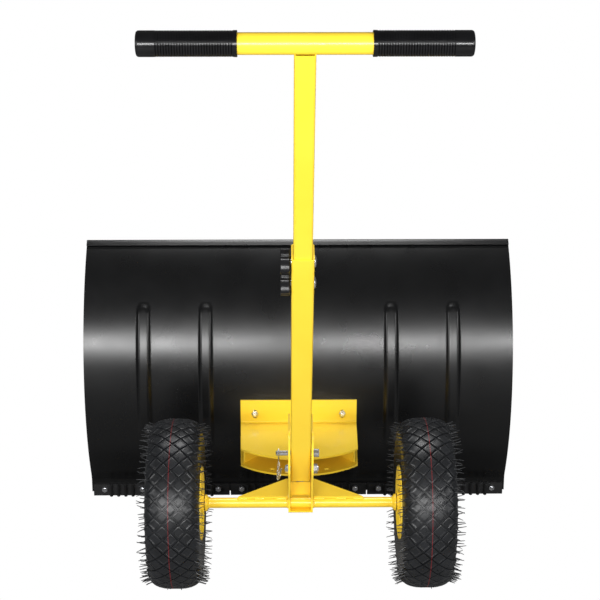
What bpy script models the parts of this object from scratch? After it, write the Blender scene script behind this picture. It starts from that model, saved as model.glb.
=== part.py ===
"""Wheeled snow shovel: a curved blade on a swinging bracket, two air-filled wheels, and a telescoping handle.

Metres, +Z up, +Y ahead of the operator, +X to the operator's right. The origin is on the ground, under
the middle of the whole shovel. The shovel stands on its two tyres and on the wear strips under the blade.
"""

import math

import bmesh
import bpy

# Fits between neighbouring pieces
GAP = 0.0003  # two faces that touch
BOLT_PLAY = 0.0003  # all round a bolt in its hole
TURN_PLAY = 0.0004  # all round a shaft in its bore

# Wheels
WHEEL_RADIUS = 0.1315
WHEEL_SIDE = 0.193  # middle of each wheel from the shovel's middle
TYRE_HALF_WIDTH = 0.041
TYRE_STEPS = 28  # flats round a tyre
RIM_STEPS = 18  # flats round the wheel pressings
RIM_SEAT_RADIUS = 0.0508
RIM_LIP_RADIUS = 0.058
RIM_HALF_WIDTH = 0.0385
RIM_WELL_RADIUS = 0.044
SHEET = 0.002  # wheel pressings
HUB_RADIUS = 0.0155
HUB_WALL = 0.0025
HUB_INNER = 0.043  # hub ends, from the wheel's middle
HUB_OUTER = 0.023
BEARING_WIDTH = 0.010
VALVE_RADIUS = 0.0035
VALVE_CIRCLE = 0.0355

# Axle
AXLE_RADIUS = 0.008
AXLE_OVERHANG = 0.016  # past each hub
COLLAR_RADIUS = 0.013
WASHER_THICKNESS = 0.002
WASHER_RADIUS = 0.014
COTTER_RADIUS = 0.0016

# Blade
BLADE_WIDTH = 0.740
BLADE_RADIUS = 0.328  # rear face
BLADE_ARC = math.radians(79.9)
BLADE_TILT = math.radians(9.7)  # chord leans forward
BLADE_THICKNESS = 0.002
BLADE_STEPS = 12  # flats along the rolled curve
CREASE_AHEAD = 0.325  # rear face of the foot flange, ahead of the axle
CREASE_HEIGHT = 0.0346
FLANGE_CLEARANCE = 0.006  # foot flange above the ground
HEM_RADIUS = 0.003
HEM_RETURN = 0.010
RIB_SIDES = (-0.267, -0.160, 0.160, 0.267)
RIB_HALF_WIDTH = 0.013
RIB_DEPTH = 0.005
RIB_START, RIB_END = 0.070, 0.338  # along the sheet, from the crease
RIB_FADE = 0.070

# Wear strips
STRIP_LENGTH = 0.2432
STRIP_SLIT = 0.0018
STRIP_HEIGHT = 0.0216
STRIP_BASE = 0.005
STRIP_RIB_WIDTH = 0.0055
STRIP_RIB_DEPTH = 0.0063
STRIP_RIB_PITCH = 0.01285
STRIP_RIB_COUNT = 17
STRIP_BOLT_HEIGHT = 0.013
STRIP_BOLT_MARGIN = 0.020
STRIP_BOLT_COUNT = 4
STRIP_BOLT_RADIUS = 0.003
NUT_RADIUS = 0.0052

# Blade bracket: top plate with the bolted flange, and bottom plate with the index holes
PLATE = 0.003
TOP_PLATE_RISE = 0.0235  # upper face above the middle of the axle
BOTTOM_PLATE_DROP = 0.005  # upper face below the middle of the axle
SWIVEL_AHEAD = 0.2526  # swivel bolt ahead of the axle
FAN_RADIUS = 0.1333
FAN_HALF_WIDTH = 0.0973  # where the round edge ends
FLANGE_HALF_WIDTH = 0.1015
FLANGE_REACH = 0.042  # above the top plate
BEND_RADIUS = 0.003
BRACKET_BOLT_SIDE = 0.0756
BRACKET_BOLT_RISE = 0.018  # above the top plate
BRACKET_BOLT_RADIUS = 0.004
BRACKET_HEAD_RADIUS = 0.009
SLOT_TRAVEL = 0.008
INDEX_RADIUS = 0.1205
INDEX_ANGLE = math.radians(22.0)
SWIVEL_BOLT_RADIUS = 0.006
BARREL_RADIUS = 0.014
WEB_OUTER = (0.092, -0.082)  # from the swivel bolt
WEB_INNER = (0.042, -0.012)

# Frame channel and tongue
CHANNEL_PLATE = 0.003
CHANNEL_PLAY = 0.001  # each side of the outer tube
CHANNEL_FLOOR = 0.003  # floor's upper face, under the axle
CHANNEL_REAR = -0.014
CHANNEL_BACK = -0.056  # rear edge of the leaning walls
CHANNEL_FRONT = 0.095
CHANNEL_REACH = 0.1385  # top of the walls above the middle of the axle
TONGUE_START = 0.012
TONGUE_HEIGHT = 0.0225
PLUNGER_RADIUS = 0.004
PLUNGER_TRAVEL = 0.008
GUSSET_SIDE = 0.078
GUSSET_BACK, GUSSET_FRONT = -0.003, 0.066
GUSSET_THICKNESS = 0.003

# Handle
POST_PIVOT_AHEAD = -0.0065
POST_PIVOT_RISE = 0.0599  # above the middle of the axle
POST_LEAN = math.radians(32.0)
LEAN_STEP = math.radians(20.0)  # one seat of the lock pin to the next
OUTER_TUBE = 0.030
OUTER_WALL = 0.002
OUTER_BELOW = 0.012  # outer tube's end, below the pivot
OUTER_TOP = 0.488  # outer tube's end, along the post from the pivot
INNER_TUBE = 0.025
INNER_WALL = 0.0015
INNER_LENGTH = 0.510
INNER_NOTCH = 0.0085  # square end, below the middle of the handlebar
TUBE_CORNER = 0.003
PIN_RADIUS = 0.004
LOCK_DISTANCE = 0.0417  # lock pin from the pivot bolt
LOCK_PIN_HEAD, LOCK_PIN_TAIL = 0.009, 0.019  # past the channel
CLIP_MARGIN = 0.0045  # clip hole from the pin's end
KNOB_BOLTS = (0.4292, 0.4705)  # along the post from the pivot
HANDLE_DISTANCE = 0.828  # handlebar from the pivot
SLIDE_DOWN, SLIDE_UP = 0.100, 0.060
HANDLEBAR_RADIUS = 0.0125
HANDLEBAR_WALL = 0.0015
HANDLEBAR_LENGTH = 0.372
BAR_STEPS = 12  # flats round handlebar and grips
GRIP_RADIUS = 0.0149
GRIP_LENGTH = 0.113
GRIP_END = 0.0025
GRIP_RINGS = 12
GRIP_RING_PITCH = 0.0068
KNOB_RADIUS = 0.018
KNOB_LENGTH = 0.014
KNOB_LOBES = 6

# Worked out from the sizes above
AXLE_HEIGHT = WHEEL_RADIUS
TOP_PLATE_HEIGHT = AXLE_HEIGHT + TOP_PLATE_RISE
BOTTOM_PLATE_HEIGHT = AXLE_HEIGHT - BOTTOM_PLATE_DROP
FLANGE_TOP = TOP_PLATE_HEIGHT + FLANGE_REACH
BRACKET_BOLT_HEIGHT = TOP_PLATE_HEIGHT + BRACKET_BOLT_RISE
CHANNEL_TOP = AXLE_HEIGHT + CHANNEL_REACH
CHANNEL_WIDTH = OUTER_TUBE + 2 * CHANNEL_PLATE + 2 * CHANNEL_PLAY
POST_PIVOT_HEIGHT = AXLE_HEIGHT + POST_PIVOT_RISE
CREASE_ANGLE = BLADE_TILT - BLADE_ARC / 2  # from level, seen from the middle of the blade's curve
TOP_ANGLE = BLADE_TILT + BLADE_ARC / 2
CURVE_AHEAD = CREASE_AHEAD + BLADE_RADIUS * math.cos(CREASE_ANGLE)
CURVE_HEIGHT = CREASE_HEIGHT - BLADE_RADIUS * math.sin(CREASE_ANGLE)
FRONT_RADIUS = BLADE_RADIUS - BLADE_THICKNESS
HANDLE_AHEAD = POST_PIVOT_AHEAD - HANDLE_DISTANCE * math.sin(POST_LEAN)
SHOVEL_FRONT = CURVE_AHEAD - FRONT_RADIUS * math.cos(TOP_ANGLE) + HEM_RADIUS * (1 - math.cos(TOP_ANGLE))
SHOVEL_REAR = HANDLE_AHEAD - GRIP_RADIUS
AXLE_Y = -(SHOVEL_FRONT + SHOVEL_REAR) / 2
SIDEWAYS = (math.pi / 2, 0, math.pi / 2)  # drawn in Y and Z, thick along X
ALONG_X = (0, math.pi / 2, 0)  # local Z along X

for old in list(bpy.data.objects):
    bpy.data.objects.remove(old)

parts = bpy.data.collections.new("wheeled_snow_shovel")
cutters = bpy.data.collections.new("cutters")
bpy.context.scene.collection.children.link(parts)
bpy.context.scene.collection.children.link(cutters)


def finish(name, colour, roughness, metallic):
    """A Principled material."""
    made = bpy.data.materials.new(name)
    made.use_nodes = True
    shader = made.node_tree.nodes["Principled BSDF"]
    shader.inputs["Base Color"].default_value = (*colour, 1.0)
    shader.inputs["Roughness"].default_value = roughness
    shader.inputs["Metallic"].default_value = metallic
    return made


YELLOW = finish("yellow_paint", (0.90, 0.62, 0.03), 0.35, 0.0)
BLACK = finish("black_powder_coat", (0.012, 0.012, 0.014), 0.45, 0.0)
ZINC = finish("zinc_plate", (0.62, 0.63, 0.65), 0.30, 1.0)
RUBBER = finish("black_rubber", (0.02, 0.02, 0.021), 0.75, 0.0)
PLASTIC = finish("black_plastic", (0.018, 0.018, 0.019), 0.50, 0.0)
STEEL = finish("bearing_steel", (0.50, 0.50, 0.51), 0.25, 1.0)


def put(name, mesh, coat, parent, location=(0, 0, 0), rotation=(0, 0, 0)):
    """A named object in the shovel's collection, placed from its parent."""
    made = bpy.data.objects.new(name, mesh)
    parts.objects.link(made)
    made.parent = parent
    made.location = location
    made.rotation_euler = rotation
    if coat is not None and not mesh.materials:
        mesh.materials.append(coat)
    return made


def cut(target, mesh, parent, location=(0, 0, 0), rotation=(0, 0, 0), operation="DIFFERENCE"):
    """Takes a shape away from a piece, or joins or keeps it."""
    tool = bpy.data.objects.new(f"{target.name}_{operation.lower()}", mesh)
    cutters.objects.link(tool)
    tool.parent = parent
    tool.location = location
    tool.rotation_euler = rotation
    tool.display_type = "WIRE"
    tool.hide_render = True
    boolean = target.modifiers.new(tool.name, "BOOLEAN")
    boolean.operation = operation
    boolean.object = tool
    boolean.solver = "EXACT"


def axis(name, location, rotation=(0, 0, 0), parent=None):
    """An empty on a joint's axis."""
    made = bpy.data.objects.new(name, None)
    parts.objects.link(made)
    made.location = location
    made.rotation_euler = rotation
    made.parent = parent
    return made


def evaluated(holder):
    """The mesh of an object as its modifiers leave it, and the object removed."""
    graph = bpy.context.evaluated_depsgraph_get()
    mesh = bpy.data.meshes.new_from_object(holder.evaluated_get(graph))
    mesh.materials.clear()
    bpy.data.objects.remove(holder)
    return mesh


def slab(loop, thickness):
    """A flat outline without holes, half its thickness each side of local Z."""
    form = bmesh.new()
    corners = [form.verts.new((x, y, -thickness / 2)) for x, y in loop]
    face = form.faces.new(corners)
    raised = bmesh.ops.extrude_face_region(form, geom=[face])["geom"]
    top = [item for item in raised if isinstance(item, bmesh.types.BMVert)]
    bmesh.ops.translate(form, vec=(0, 0, thickness), verts=top)
    bmesh.ops.recalc_face_normals(form, faces=form.faces)
    mesh = bpy.data.meshes.new("slab")
    form.to_mesh(mesh)
    form.free()
    return mesh


def plate(loops, thickness):
    """A flat outline in local X and Y, with any holes as further loops, half its thickness each side."""
    outline = bpy.data.curves.new("outline", "CURVE")
    outline.dimensions = "2D"
    outline.fill_mode = "BOTH"
    outline.extrude = thickness / 2
    for loop in loops:
        spline = outline.splines.new("POLY")
        spline.points.add(len(loop) - 1)
        spline.use_cyclic_u = True
        for point, (x, y) in zip(spline.points, loop):
            point.co = (x, y, 0, 1)
    holder = bpy.data.objects.new("outline", outline)
    parts.objects.link(holder)
    mesh = evaluated(holder)
    form = bmesh.new()
    form.from_mesh(mesh)
    bmesh.ops.remove_doubles(form, verts=form.verts, dist=1e-6)
    bmesh.ops.dissolve_degenerate(form, edges=form.edges, dist=1e-6)
    bmesh.ops.dissolve_limit(form, angle_limit=0.001, verts=form.verts, edges=form.edges)
    bmesh.ops.recalc_face_normals(form, faces=form.faces)
    form.to_mesh(mesh)
    form.free()
    return mesh


def turned(profile, steps, closed=False):
    """A profile of radii and heights, run down its outer side, turned about local Z."""
    mesh = bpy.data.meshes.new("profile")
    edges = [(i, i + 1) for i in range(len(profile) - 1)]
    if closed:
        edges.append((len(profile) - 1, 0))
    mesh.from_pydata([(radius, 0, height) for radius, height in profile], edges, [])
    holder = bpy.data.objects.new("profile", mesh)
    parts.objects.link(holder)
    screw = holder.modifiers.new("turn", "SCREW")
    screw.steps = steps
    screw.render_steps = steps
    screw.use_merge_vertices = True
    screw.merge_threshold = 1e-6
    made = evaluated(holder)
    made.shade_smooth()
    made.set_sharp_from_angle(angle=math.radians(35))
    return made


def rod(radius, low, high, steps):
    """A plain round bar along local Z."""
    return turned([(0, high), (radius, high), (radius, low), (0, low)], steps)


def pipe(radius, bore, low, high, steps):
    """A round tube along local Z."""
    return turned([(radius, high), (radius, low), (bore, low), (bore, high)], steps, closed=True)


def circle(radius, count, x=0.0, y=0.0):
    """A round loop."""
    angles = [2 * math.pi * i / count for i in range(count)]
    return [(x + radius * math.cos(a), y + radius * math.sin(a)) for a in angles]


def arc(radius, start, end, count, x=0.0, y=0.0):
    """Points along an arc, both ends included."""
    angles = [start + (end - start) * i / count for i in range(count + 1)]
    return [(x + radius * math.cos(a), y + radius * math.sin(a)) for a in angles]


def rounded(corners, radii, count=4):
    """An outline with its corners rounded, each by its own radius."""
    loop = []
    for i, (x, y) in enumerate(corners):
        before, after = corners[i - 1], corners[(i + 1) % len(corners)]
        ax, ay = before[0] - x, before[1] - y
        bx, by = after[0] - x, after[1] - y
        a_length, b_length = math.hypot(ax, ay), math.hypot(bx, by)
        ax, ay, bx, by = ax / a_length, ay / a_length, bx / b_length, by / b_length
        half = math.acos(max(-1.0, min(1.0, ax * bx + ay * by))) / 2
        radius = radii[i]
        if radius <= 0:
            loop.append((x, y))
            continue
        back = min(radius / math.tan(half), 0.49 * a_length, 0.49 * b_length)
        radius = back * math.tan(half)
        mx, my = ax + bx, ay + by
        m_length = math.hypot(mx, my)
        reach = radius / math.sin(half)
        cx, cy = x + mx / m_length * reach, y + my / m_length * reach
        start = math.atan2(y + ay * back - cy, x + ax * back - cx)
        end = math.atan2(y + by * back - cy, x + bx * back - cx)
        turn = (end - start + math.pi) % (2 * math.pi) - math.pi
        loop += arc(radius, start, start + turn, count, cx, cy)
    return loop


def slot(half_length, radius, count=6):
    """A round-ended loop along local Y."""
    return arc(radius, 0, math.pi, count, 0, half_length) + arc(
        radius, math.pi, 2 * math.pi, count, 0, -half_length
    )


def square(side, corner, count=2):
    """A rounded square loop."""
    h = side / 2
    return rounded([(-h, -h), (h, -h), (h, h), (-h, h)], [corner] * 4, count)


def box(x0, x1, y0, y1, z0, z1):
    """A plain block."""
    form = bmesh.new()
    bmesh.ops.create_cube(form, size=1)
    bmesh.ops.scale(form, vec=(x1 - x0, y1 - y0, z1 - z0), verts=form.verts)
    bmesh.ops.translate(form, vec=((x0 + x1) / 2, (y0 + y1) / 2, (z0 + z1) / 2), verts=form.verts)
    mesh = bpy.data.meshes.new("block")
    form.to_mesh(mesh)
    form.free()
    return mesh


def joined(first, second):
    """Two overlapping shapes made one body."""
    holder = bpy.data.objects.new("first", first)
    tool = bpy.data.objects.new("second", second)
    parts.objects.link(holder)
    parts.objects.link(tool)
    union = holder.modifiers.new("join", "BOOLEAN")
    union.operation = "UNION"
    union.object = tool
    union.solver = "EXACT"
    mesh = evaluated(holder)
    bpy.data.objects.remove(tool)
    return mesh


def wire(points, radius, sides=2, cyclic=False):
    """A round wire through its points."""
    path = bpy.data.curves.new("wire", "CURVE")
    path.dimensions = "3D"
    path.bevel_depth = radius
    path.bevel_resolution = sides
    path.use_fill_caps = True
    spline = path.splines.new("POLY")
    spline.points.add(len(points) - 1)
    spline.use_cyclic_u = cyclic
    for point, place in zip(spline.points, points):
        point.co = (*place, 1)
    holder = bpy.data.objects.new("wire", path)
    parts.objects.link(holder)
    mesh = evaluated(holder)
    form = bmesh.new()
    form.from_mesh(mesh)
    bmesh.ops.remove_doubles(form, verts=form.verts, dist=1e-6)
    bmesh.ops.recalc_face_normals(form, faces=form.faces)
    form.to_mesh(mesh)
    form.free()
    mesh.shade_smooth()
    return mesh


def bolt(radius, head, nut, grip, tail, steps=10):
    """A bolt along local Z with its domed head down at zero and its nut past the grip."""
    head_radius, head_height = head
    nut_radius, nut_height = nut
    top = grip + nut_height + tail
    shank = turned(
        [
            (0, top),
            (radius, top),
            (radius, 0),
            (head_radius, 0),
            (head_radius * 0.8, -head_height * 0.7),
            (0, -head_height),
        ],
        steps,
    )
    form = bmesh.new()
    bmesh.ops.create_cone(
        form, cap_ends=True, segments=6, radius1=nut_radius, radius2=nut_radius, depth=nut_height
    )
    bmesh.ops.translate(form, vec=(0, 0, grip + nut_height / 2), verts=form.verts)
    nut_mesh = bpy.data.meshes.new("nut")
    form.to_mesh(nut_mesh)
    form.free()
    return joined(shank, nut_mesh)


frame_axis = axis("frame", (0, AXLE_Y, 0))
swing_axis = axis("blade_swing", (0, AXLE_Y + SWIVEL_AHEAD, 0))
post_axis = axis("post_tilt", (0, AXLE_Y + POST_PIVOT_AHEAD, POST_PIVOT_HEIGHT), (POST_LEAN, 0, 0))
slide_axis = axis("handle_slide", (0, 0, 0), parent=post_axis)


# Blade: one rolled sheet. Its front face is drawn and the thickness goes to the rear.
def blade_profile():
    """Ahead, height, and distance along the sheet from the crease, up the front face, with the folded hem."""
    face = CREASE_AHEAD + BLADE_THICKNESS
    run = [(face, FLANGE_CLEARANCE, FLANGE_CLEARANCE - CREASE_HEIGHT)]
    stops = sorted(
        [BLADE_ARC * i / BLADE_STEPS for i in range(BLADE_STEPS + 1)]
        + [(RIB_END - RIB_HALF_WIDTH * k) / BLADE_RADIUS for k in (0.25, 0.6)]
    )
    for turn in stops:
        a = CREASE_ANGLE + turn
        ahead = CURVE_AHEAD - FRONT_RADIUS * math.cos(a)
        height = CURVE_HEIGHT + FRONT_RADIUS * math.sin(a)
        run.append((ahead, height, turn * BLADE_RADIUS))
    last = run[-1]
    rear_y, rear_z = -math.cos(TOP_ANGLE), math.sin(TOP_ANGLE)
    up_y, up_z = math.sin(TOP_ANGLE), math.cos(TOP_ANGLE)
    for i in range(1, 5):
        a = math.pi * i / 4
        out, up = HEM_RADIUS * (1 - math.cos(a)), HEM_RADIUS * math.sin(a)
        run.append((last[0] + rear_y * out + up_y * up, last[1] + rear_z * out + up_z * up, 1.0))
    end = run[-1]
    run.append((end[0] - up_y * HEM_RETURN, end[1] - up_z * HEM_RETURN, 1.0))
    return run


def rib_depth(x, along):
    """How far a rib is pressed out to the rear at a place on the sheet."""
    nearest = min(abs(x - side) for side in RIB_SIDES)
    beyond = max(0.0, along - (RIB_END - RIB_HALF_WIDTH))
    off = math.hypot(nearest, beyond) / RIB_HALF_WIDTH
    fade = min(1.0, max(0.0, (along - RIB_START) / RIB_FADE))
    if off >= 1 or along > RIB_END:
        return 0.0
    return RIB_DEPTH * fade * math.sin(min(1.0, (1 - off) / 0.55) * math.pi / 2) ** 2


def blade_columns():
    """Places across the blade: its ends, the middle, and four on each rib."""
    places = [-BLADE_WIDTH / 2, 0.0, BLADE_WIDTH / 2]
    for side in RIB_SIDES:
        places += [side + RIB_HALF_WIDTH * k for k in (-1, -0.42, 0.42, 1)]
    return sorted(places)


def strip_bolt_places():
    """Bolt places across the blade, four to a strip."""
    step = (STRIP_LENGTH - 2 * STRIP_BOLT_MARGIN) / (STRIP_BOLT_COUNT - 1)
    places = []
    for strip in (-1, 0, 1):
        start = strip * (STRIP_LENGTH + STRIP_SLIT) - STRIP_LENGTH / 2 + STRIP_BOLT_MARGIN
        places += [start + step * i for i in range(STRIP_BOLT_COUNT)]
    return places


profile = blade_profile()
columns = blade_columns()
form = bmesh.new()
bmesh.ops.create_grid(form, x_segments=len(columns) - 1, y_segments=len(profile) - 1, size=1)
form.verts.ensure_lookup_table()
for vert in form.verts:
    column = round((vert.co.x + 1) / 2 * (len(columns) - 1))
    row = round((vert.co.y + 1) / 2 * (len(profile) - 1))
    ahead, height, along = profile[row]
    depth = rib_depth(columns[column], along)
    a = CREASE_ANGLE + along / BLADE_RADIUS
    vert.co = (
        columns[column],
        ahead - SWIVEL_AHEAD - depth * math.cos(a),
        height + depth * math.sin(a),
    )
bmesh.ops.reverse_faces(form, faces=form.faces)
sheet = bpy.data.meshes.new("blade")
form.to_mesh(sheet)
form.free()
sheet.shade_smooth()
blade = put("blade", sheet, BLACK, swing_axis)
solid = blade.modifiers.new("thickness", "SOLIDIFY")
solid.thickness = BLADE_THICKNESS
solid.offset = -1
for place in strip_bolt_places():
    hole = rod(STRIP_BOLT_RADIUS + BOLT_PLAY, -0.02, 0.02, 8)
    cut(blade, hole, swing_axis, (place, CREASE_AHEAD - SWIVEL_AHEAD, STRIP_BOLT_HEIGHT), (math.pi / 2, 0, 0))

# Bolts through the flange and the blade point square to the curve
bracket_bolt_angle = math.asin((BRACKET_BOLT_HEIGHT - CURVE_HEIGHT) / BLADE_RADIUS)
bracket_bolt_rotation = (math.pi / 2 - bracket_bolt_angle, 0, 0)


def on_curve(radius, a):
    """A place in the blade bracket's frame on a circle about the blade's curve."""
    return (CURVE_AHEAD - SWIVEL_AHEAD - radius * math.cos(a), CURVE_HEIGHT + radius * math.sin(a))


for side in (-1, 1):
    y, z = on_curve(BLADE_RADIUS, bracket_bolt_angle)
    hole = rod(BRACKET_BOLT_RADIUS + BOLT_PLAY, -0.02, 0.02, 12)
    cut(blade, hole, swing_axis, (side * BRACKET_BOLT_SIDE, y, z), bracket_bolt_rotation)


# Wear strips: rubber pads with upright ribs on the rear face
def strip_outline():
    """Plan of a strip: flat in front, half-round ribs behind except where the nuts sit."""
    half = STRIP_LENGTH / 2
    loop = [(half, 0), (-half, 0), (-half, -STRIP_BASE)]
    radius = STRIP_RIB_WIDTH / 2
    straight = STRIP_BASE + STRIP_RIB_DEPTH - radius
    first = -STRIP_RIB_PITCH * (STRIP_RIB_COUNT - 1) / 2
    bolts = [place for place in strip_bolt_places() if abs(place) < half]
    for i in range(STRIP_RIB_COUNT):
        x = first + STRIP_RIB_PITCH * i
        if min(abs(x - place) for place in bolts) < NUT_RADIUS + radius:
            continue
        loop.append((x - radius, -STRIP_BASE))
        loop += arc(radius, math.pi, 2 * math.pi, 2, x, -straight)
        loop.append((x + radius, -STRIP_BASE))
    loop.append((half, -STRIP_BASE))
    return loop


strip_front = CREASE_AHEAD - GAP - SWIVEL_AHEAD
for strip, name in ((-1, "left"), (0, "centre"), (1, "right")):
    middle = strip * (STRIP_LENGTH + STRIP_SLIT)
    pad = put(
        f"wear_strip_{name}",
        slab(strip_outline(), STRIP_HEIGHT),
        RUBBER,
        swing_axis,
        (middle, strip_front, STRIP_HEIGHT / 2),
    )
    for place in strip_bolt_places():
        if abs(place - middle) < STRIP_LENGTH / 2:
            hole = rod(STRIP_BOLT_RADIUS + BOLT_PLAY, -0.02, 0.02, 8)
            cut(pad, hole, swing_axis, (place, strip_front, STRIP_BOLT_HEIGHT), (math.pi / 2, 0, 0))

strip_bolt = bolt(
    STRIP_BOLT_RADIUS, (0.006, 0.003), (NUT_RADIUS, 0.0045), BLADE_THICKNESS + STRIP_BASE + 3 * GAP, 0.0015, 6
)
for i, place in enumerate(strip_bolt_places()):
    put(
        f"strip_bolt_{i + 1}",
        strip_bolt,
        ZINC,
        swing_axis,
        (place, CREASE_AHEAD + BLADE_THICKNESS + GAP - SWIVEL_AHEAD, STRIP_BOLT_HEIGHT),
        (math.pi / 2, 0, 0),
    )


# Blade bracket
def fan_outline(front):
    """Plan of both bracket plates: round at the rear about the swivel bolt, its sides widening to the blade."""
    half_angle = math.asin(FAN_HALF_WIDTH / FAN_RADIUS)
    loop = arc(FAN_RADIUS, -math.pi / 2 - half_angle, -math.pi / 2 + half_angle, 20)
    return loop + [(FLANGE_HALF_WIDTH, front), (-FLANGE_HALF_WIDTH, front)]


def bracket_profile():
    """Down the flange's rear face, round the bend, and back along the top plate's upper face."""
    radius = BLADE_RADIUS + GAP + PLATE
    top = math.asin((FLANGE_TOP - CURVE_HEIGHT) / radius)
    bottom = math.asin((TOP_PLATE_HEIGHT + BEND_RADIUS - CURVE_HEIGHT) / radius)
    run = [on_curve(radius, top + (bottom - top) * i / 6) for i in range(7)]
    y, z = run[-1]
    run += arc(BEND_RADIUS, 0, -math.pi / 2, 4, y - BEND_RADIUS, z)[1:]
    run.append((-FAN_RADIUS - 0.01, TOP_PLATE_HEIGHT))
    return run


bend = bracket_profile()
form = bmesh.new()
bmesh.ops.create_grid(form, x_segments=1, y_segments=len(bend) - 1, size=1)
for vert in form.verts:
    y, z = bend[round((vert.co.y + 1) / 2 * (len(bend) - 1))]
    vert.co = (vert.co.x * (FLANGE_HALF_WIDTH + 0.001), y, z)
bmesh.ops.reverse_faces(form, faces=form.faces)
sheet = bpy.data.meshes.new("bracket")
form.to_mesh(sheet)
form.free()
bracket_top = put("bracket_top_plate", sheet, YELLOW, swing_axis)
solid = bracket_top.modifiers.new("thickness", "SOLIDIFY")
solid.thickness = PLATE
solid.offset = -1
cut(bracket_top, plate([fan_outline(0.06)], 0.14), swing_axis, (0, 0, 0.17), operation="INTERSECT")
swivel_hole = rod(SWIVEL_BOLT_RADIUS + BOLT_PLAY, -0.02, 0.02, 16)
cut(bracket_top, swivel_hole, swing_axis, (0, 0, TOP_PLATE_HEIGHT))
for side in (-1, 1):
    y, z = on_curve(BLADE_RADIUS, bracket_bolt_angle)
    opening = plate([slot(SLOT_TRAVEL / 2, BRACKET_BOLT_RADIUS + BOLT_PLAY)], 0.04)
    cut(bracket_top, opening, swing_axis, (side * BRACKET_BOLT_SIDE, y, z - 0.002), bracket_bolt_rotation)

floor_angle = math.asin((BOTTOM_PLATE_HEIGHT - PLATE - CURVE_HEIGHT) / BLADE_RADIUS)
floor_front = on_curve(BLADE_RADIUS, math.asin((BOTTOM_PLATE_HEIGHT - CURVE_HEIGHT) / BLADE_RADIUS))[0] - 2 * GAP
index_holes = [
    circle(
        PLUNGER_RADIUS + TURN_PLAY,
        12,
        INDEX_RADIUS * math.sin(k * INDEX_ANGLE),
        -INDEX_RADIUS * math.cos(k * INDEX_ANGLE),
    )
    for k in (-1, 0, 1)
]
bracket_bottom = put(
    "bracket_bottom_plate",
    plate([fan_outline(floor_front), circle(SWIVEL_BOLT_RADIUS + BOLT_PLAY, 16), *index_holes], PLATE),
    YELLOW,
    swing_axis,
    (0, 0, BOTTOM_PLATE_HEIGHT - PLATE / 2),
)
web_top = TOP_PLATE_HEIGHT - PLATE - GAP
web_length = math.dist(WEB_OUTER, WEB_INNER)
web_angle = math.atan2(WEB_INNER[1] - WEB_OUTER[1], WEB_INNER[0] - WEB_OUTER[0])
for side in (-1, 1):
    web = box(0, web_length, -PLATE / 2, PLATE / 2, BOTTOM_PLATE_HEIGHT - 0.001, web_top)
    turn = web_angle if side > 0 else math.pi - web_angle
    cut(bracket_bottom, web, swing_axis, (side * WEB_OUTER[0], WEB_OUTER[1], 0), (0, 0, turn), "UNION")

head_seat = FRONT_RADIUS * math.cos(BLADE_ARC / BLADE_STEPS / 2) - GAP - BRACKET_HEAD_RADIUS**2 / (2 * FRONT_RADIUS)
bracket_grip = BLADE_RADIUS + PLATE + 2 * GAP - head_seat
bracket_bolt = bolt(BRACKET_BOLT_RADIUS, (BRACKET_HEAD_RADIUS, 0.004), (0.0075, 0.0065), bracket_grip, 0.002)
for side, name in ((-1, "left"), (1, "right")):
    y, z = on_curve(head_seat, bracket_bolt_angle)
    put(
        f"bracket_bolt_{name}",
        bracket_bolt,
        ZINC,
        swing_axis,
        (side * BRACKET_BOLT_SIDE, y, z),
        bracket_bolt_rotation,
    )

swivel_grip = TOP_PLATE_HEIGHT - BOTTOM_PLATE_HEIGHT + PLATE + 2 * GAP
put(
    "swivel_bolt",
    bolt(SWIVEL_BOLT_RADIUS, (0.011, 0.006), (0.0105, 0.009), swivel_grip, 0.003, 12),
    ZINC,
    swing_axis,
    (0, 0, TOP_PLATE_HEIGHT + GAP),
    (math.pi, 0, 0),
)


# Frame channel: walls and floor bent from one plate
def channel_outline():
    """Side of the channel, ahead of the axle and up from the ground."""
    floor = AXLE_HEIGHT - AXLE_RADIUS - CHANNEL_FLOOR - GAP
    corners = [
        (CHANNEL_REAR, floor),
        (CHANNEL_FRONT, floor),
        (CHANNEL_FRONT, AXLE_HEIGHT + 0.02),
        (0.030, CHANNEL_TOP),
        (CHANNEL_BACK, CHANNEL_TOP),
        (CHANNEL_BACK, POST_PIVOT_HEIGHT + 0.012),
        (CHANNEL_REAR, AXLE_HEIGHT + 0.010),
    ]
    return rounded(corners, [0.002, 0.004, 0.010, 0.014, 0.010, 0.010, 0.010], 3)


channel = put("frame_channel", plate([channel_outline()], CHANNEL_WIDTH), YELLOW, frame_axis, (0, 0, 0), SIDEWAYS)
inner_half = CHANNEL_WIDTH / 2 - CHANNEL_PLATE
channel_floor_top = AXLE_HEIGHT - AXLE_RADIUS - GAP
cut(
    channel,
    box(-inner_half, inner_half, -0.2, 0.2, channel_floor_top, 0.4),
    frame_axis,
)
axle_hole = rod(AXLE_RADIUS + GAP, -0.04, 0.04, 20)
cut(channel, axle_hole, frame_axis, (0, 0, AXLE_HEIGHT), ALONG_X)
pin_hole = rod(PIN_RADIUS + BOLT_PLAY, -0.04, 0.04, 12)
cut(channel, pin_hole, frame_axis, (0, POST_PIVOT_AHEAD, POST_PIVOT_HEIGHT), ALONG_X)


def lock_slot():
    """Curved slot of the lock pin about the pivot bolt, with a seat at each of three leans."""
    half = PIN_RADIUS + 2 * BOLT_PLAY
    low = math.pi / 2 + POST_LEAN - LEAN_STEP
    high = math.pi / 2 + POST_LEAN + LEAN_STEP
    outer, inner = LOCK_DISTANCE + half, LOCK_DISTANCE - half
    loop = arc(outer, low, high, 6)
    loop += arc(half, high, high + math.pi, 4, LOCK_DISTANCE * math.cos(high), LOCK_DISTANCE * math.sin(high))[1:-1]
    loop += arc(inner, high, low, 6)
    loop += arc(half, low + math.pi, low + 2 * math.pi, 4, LOCK_DISTANCE * math.cos(low), LOCK_DISTANCE * math.sin(low))[1:-1]
    return loop


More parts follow.
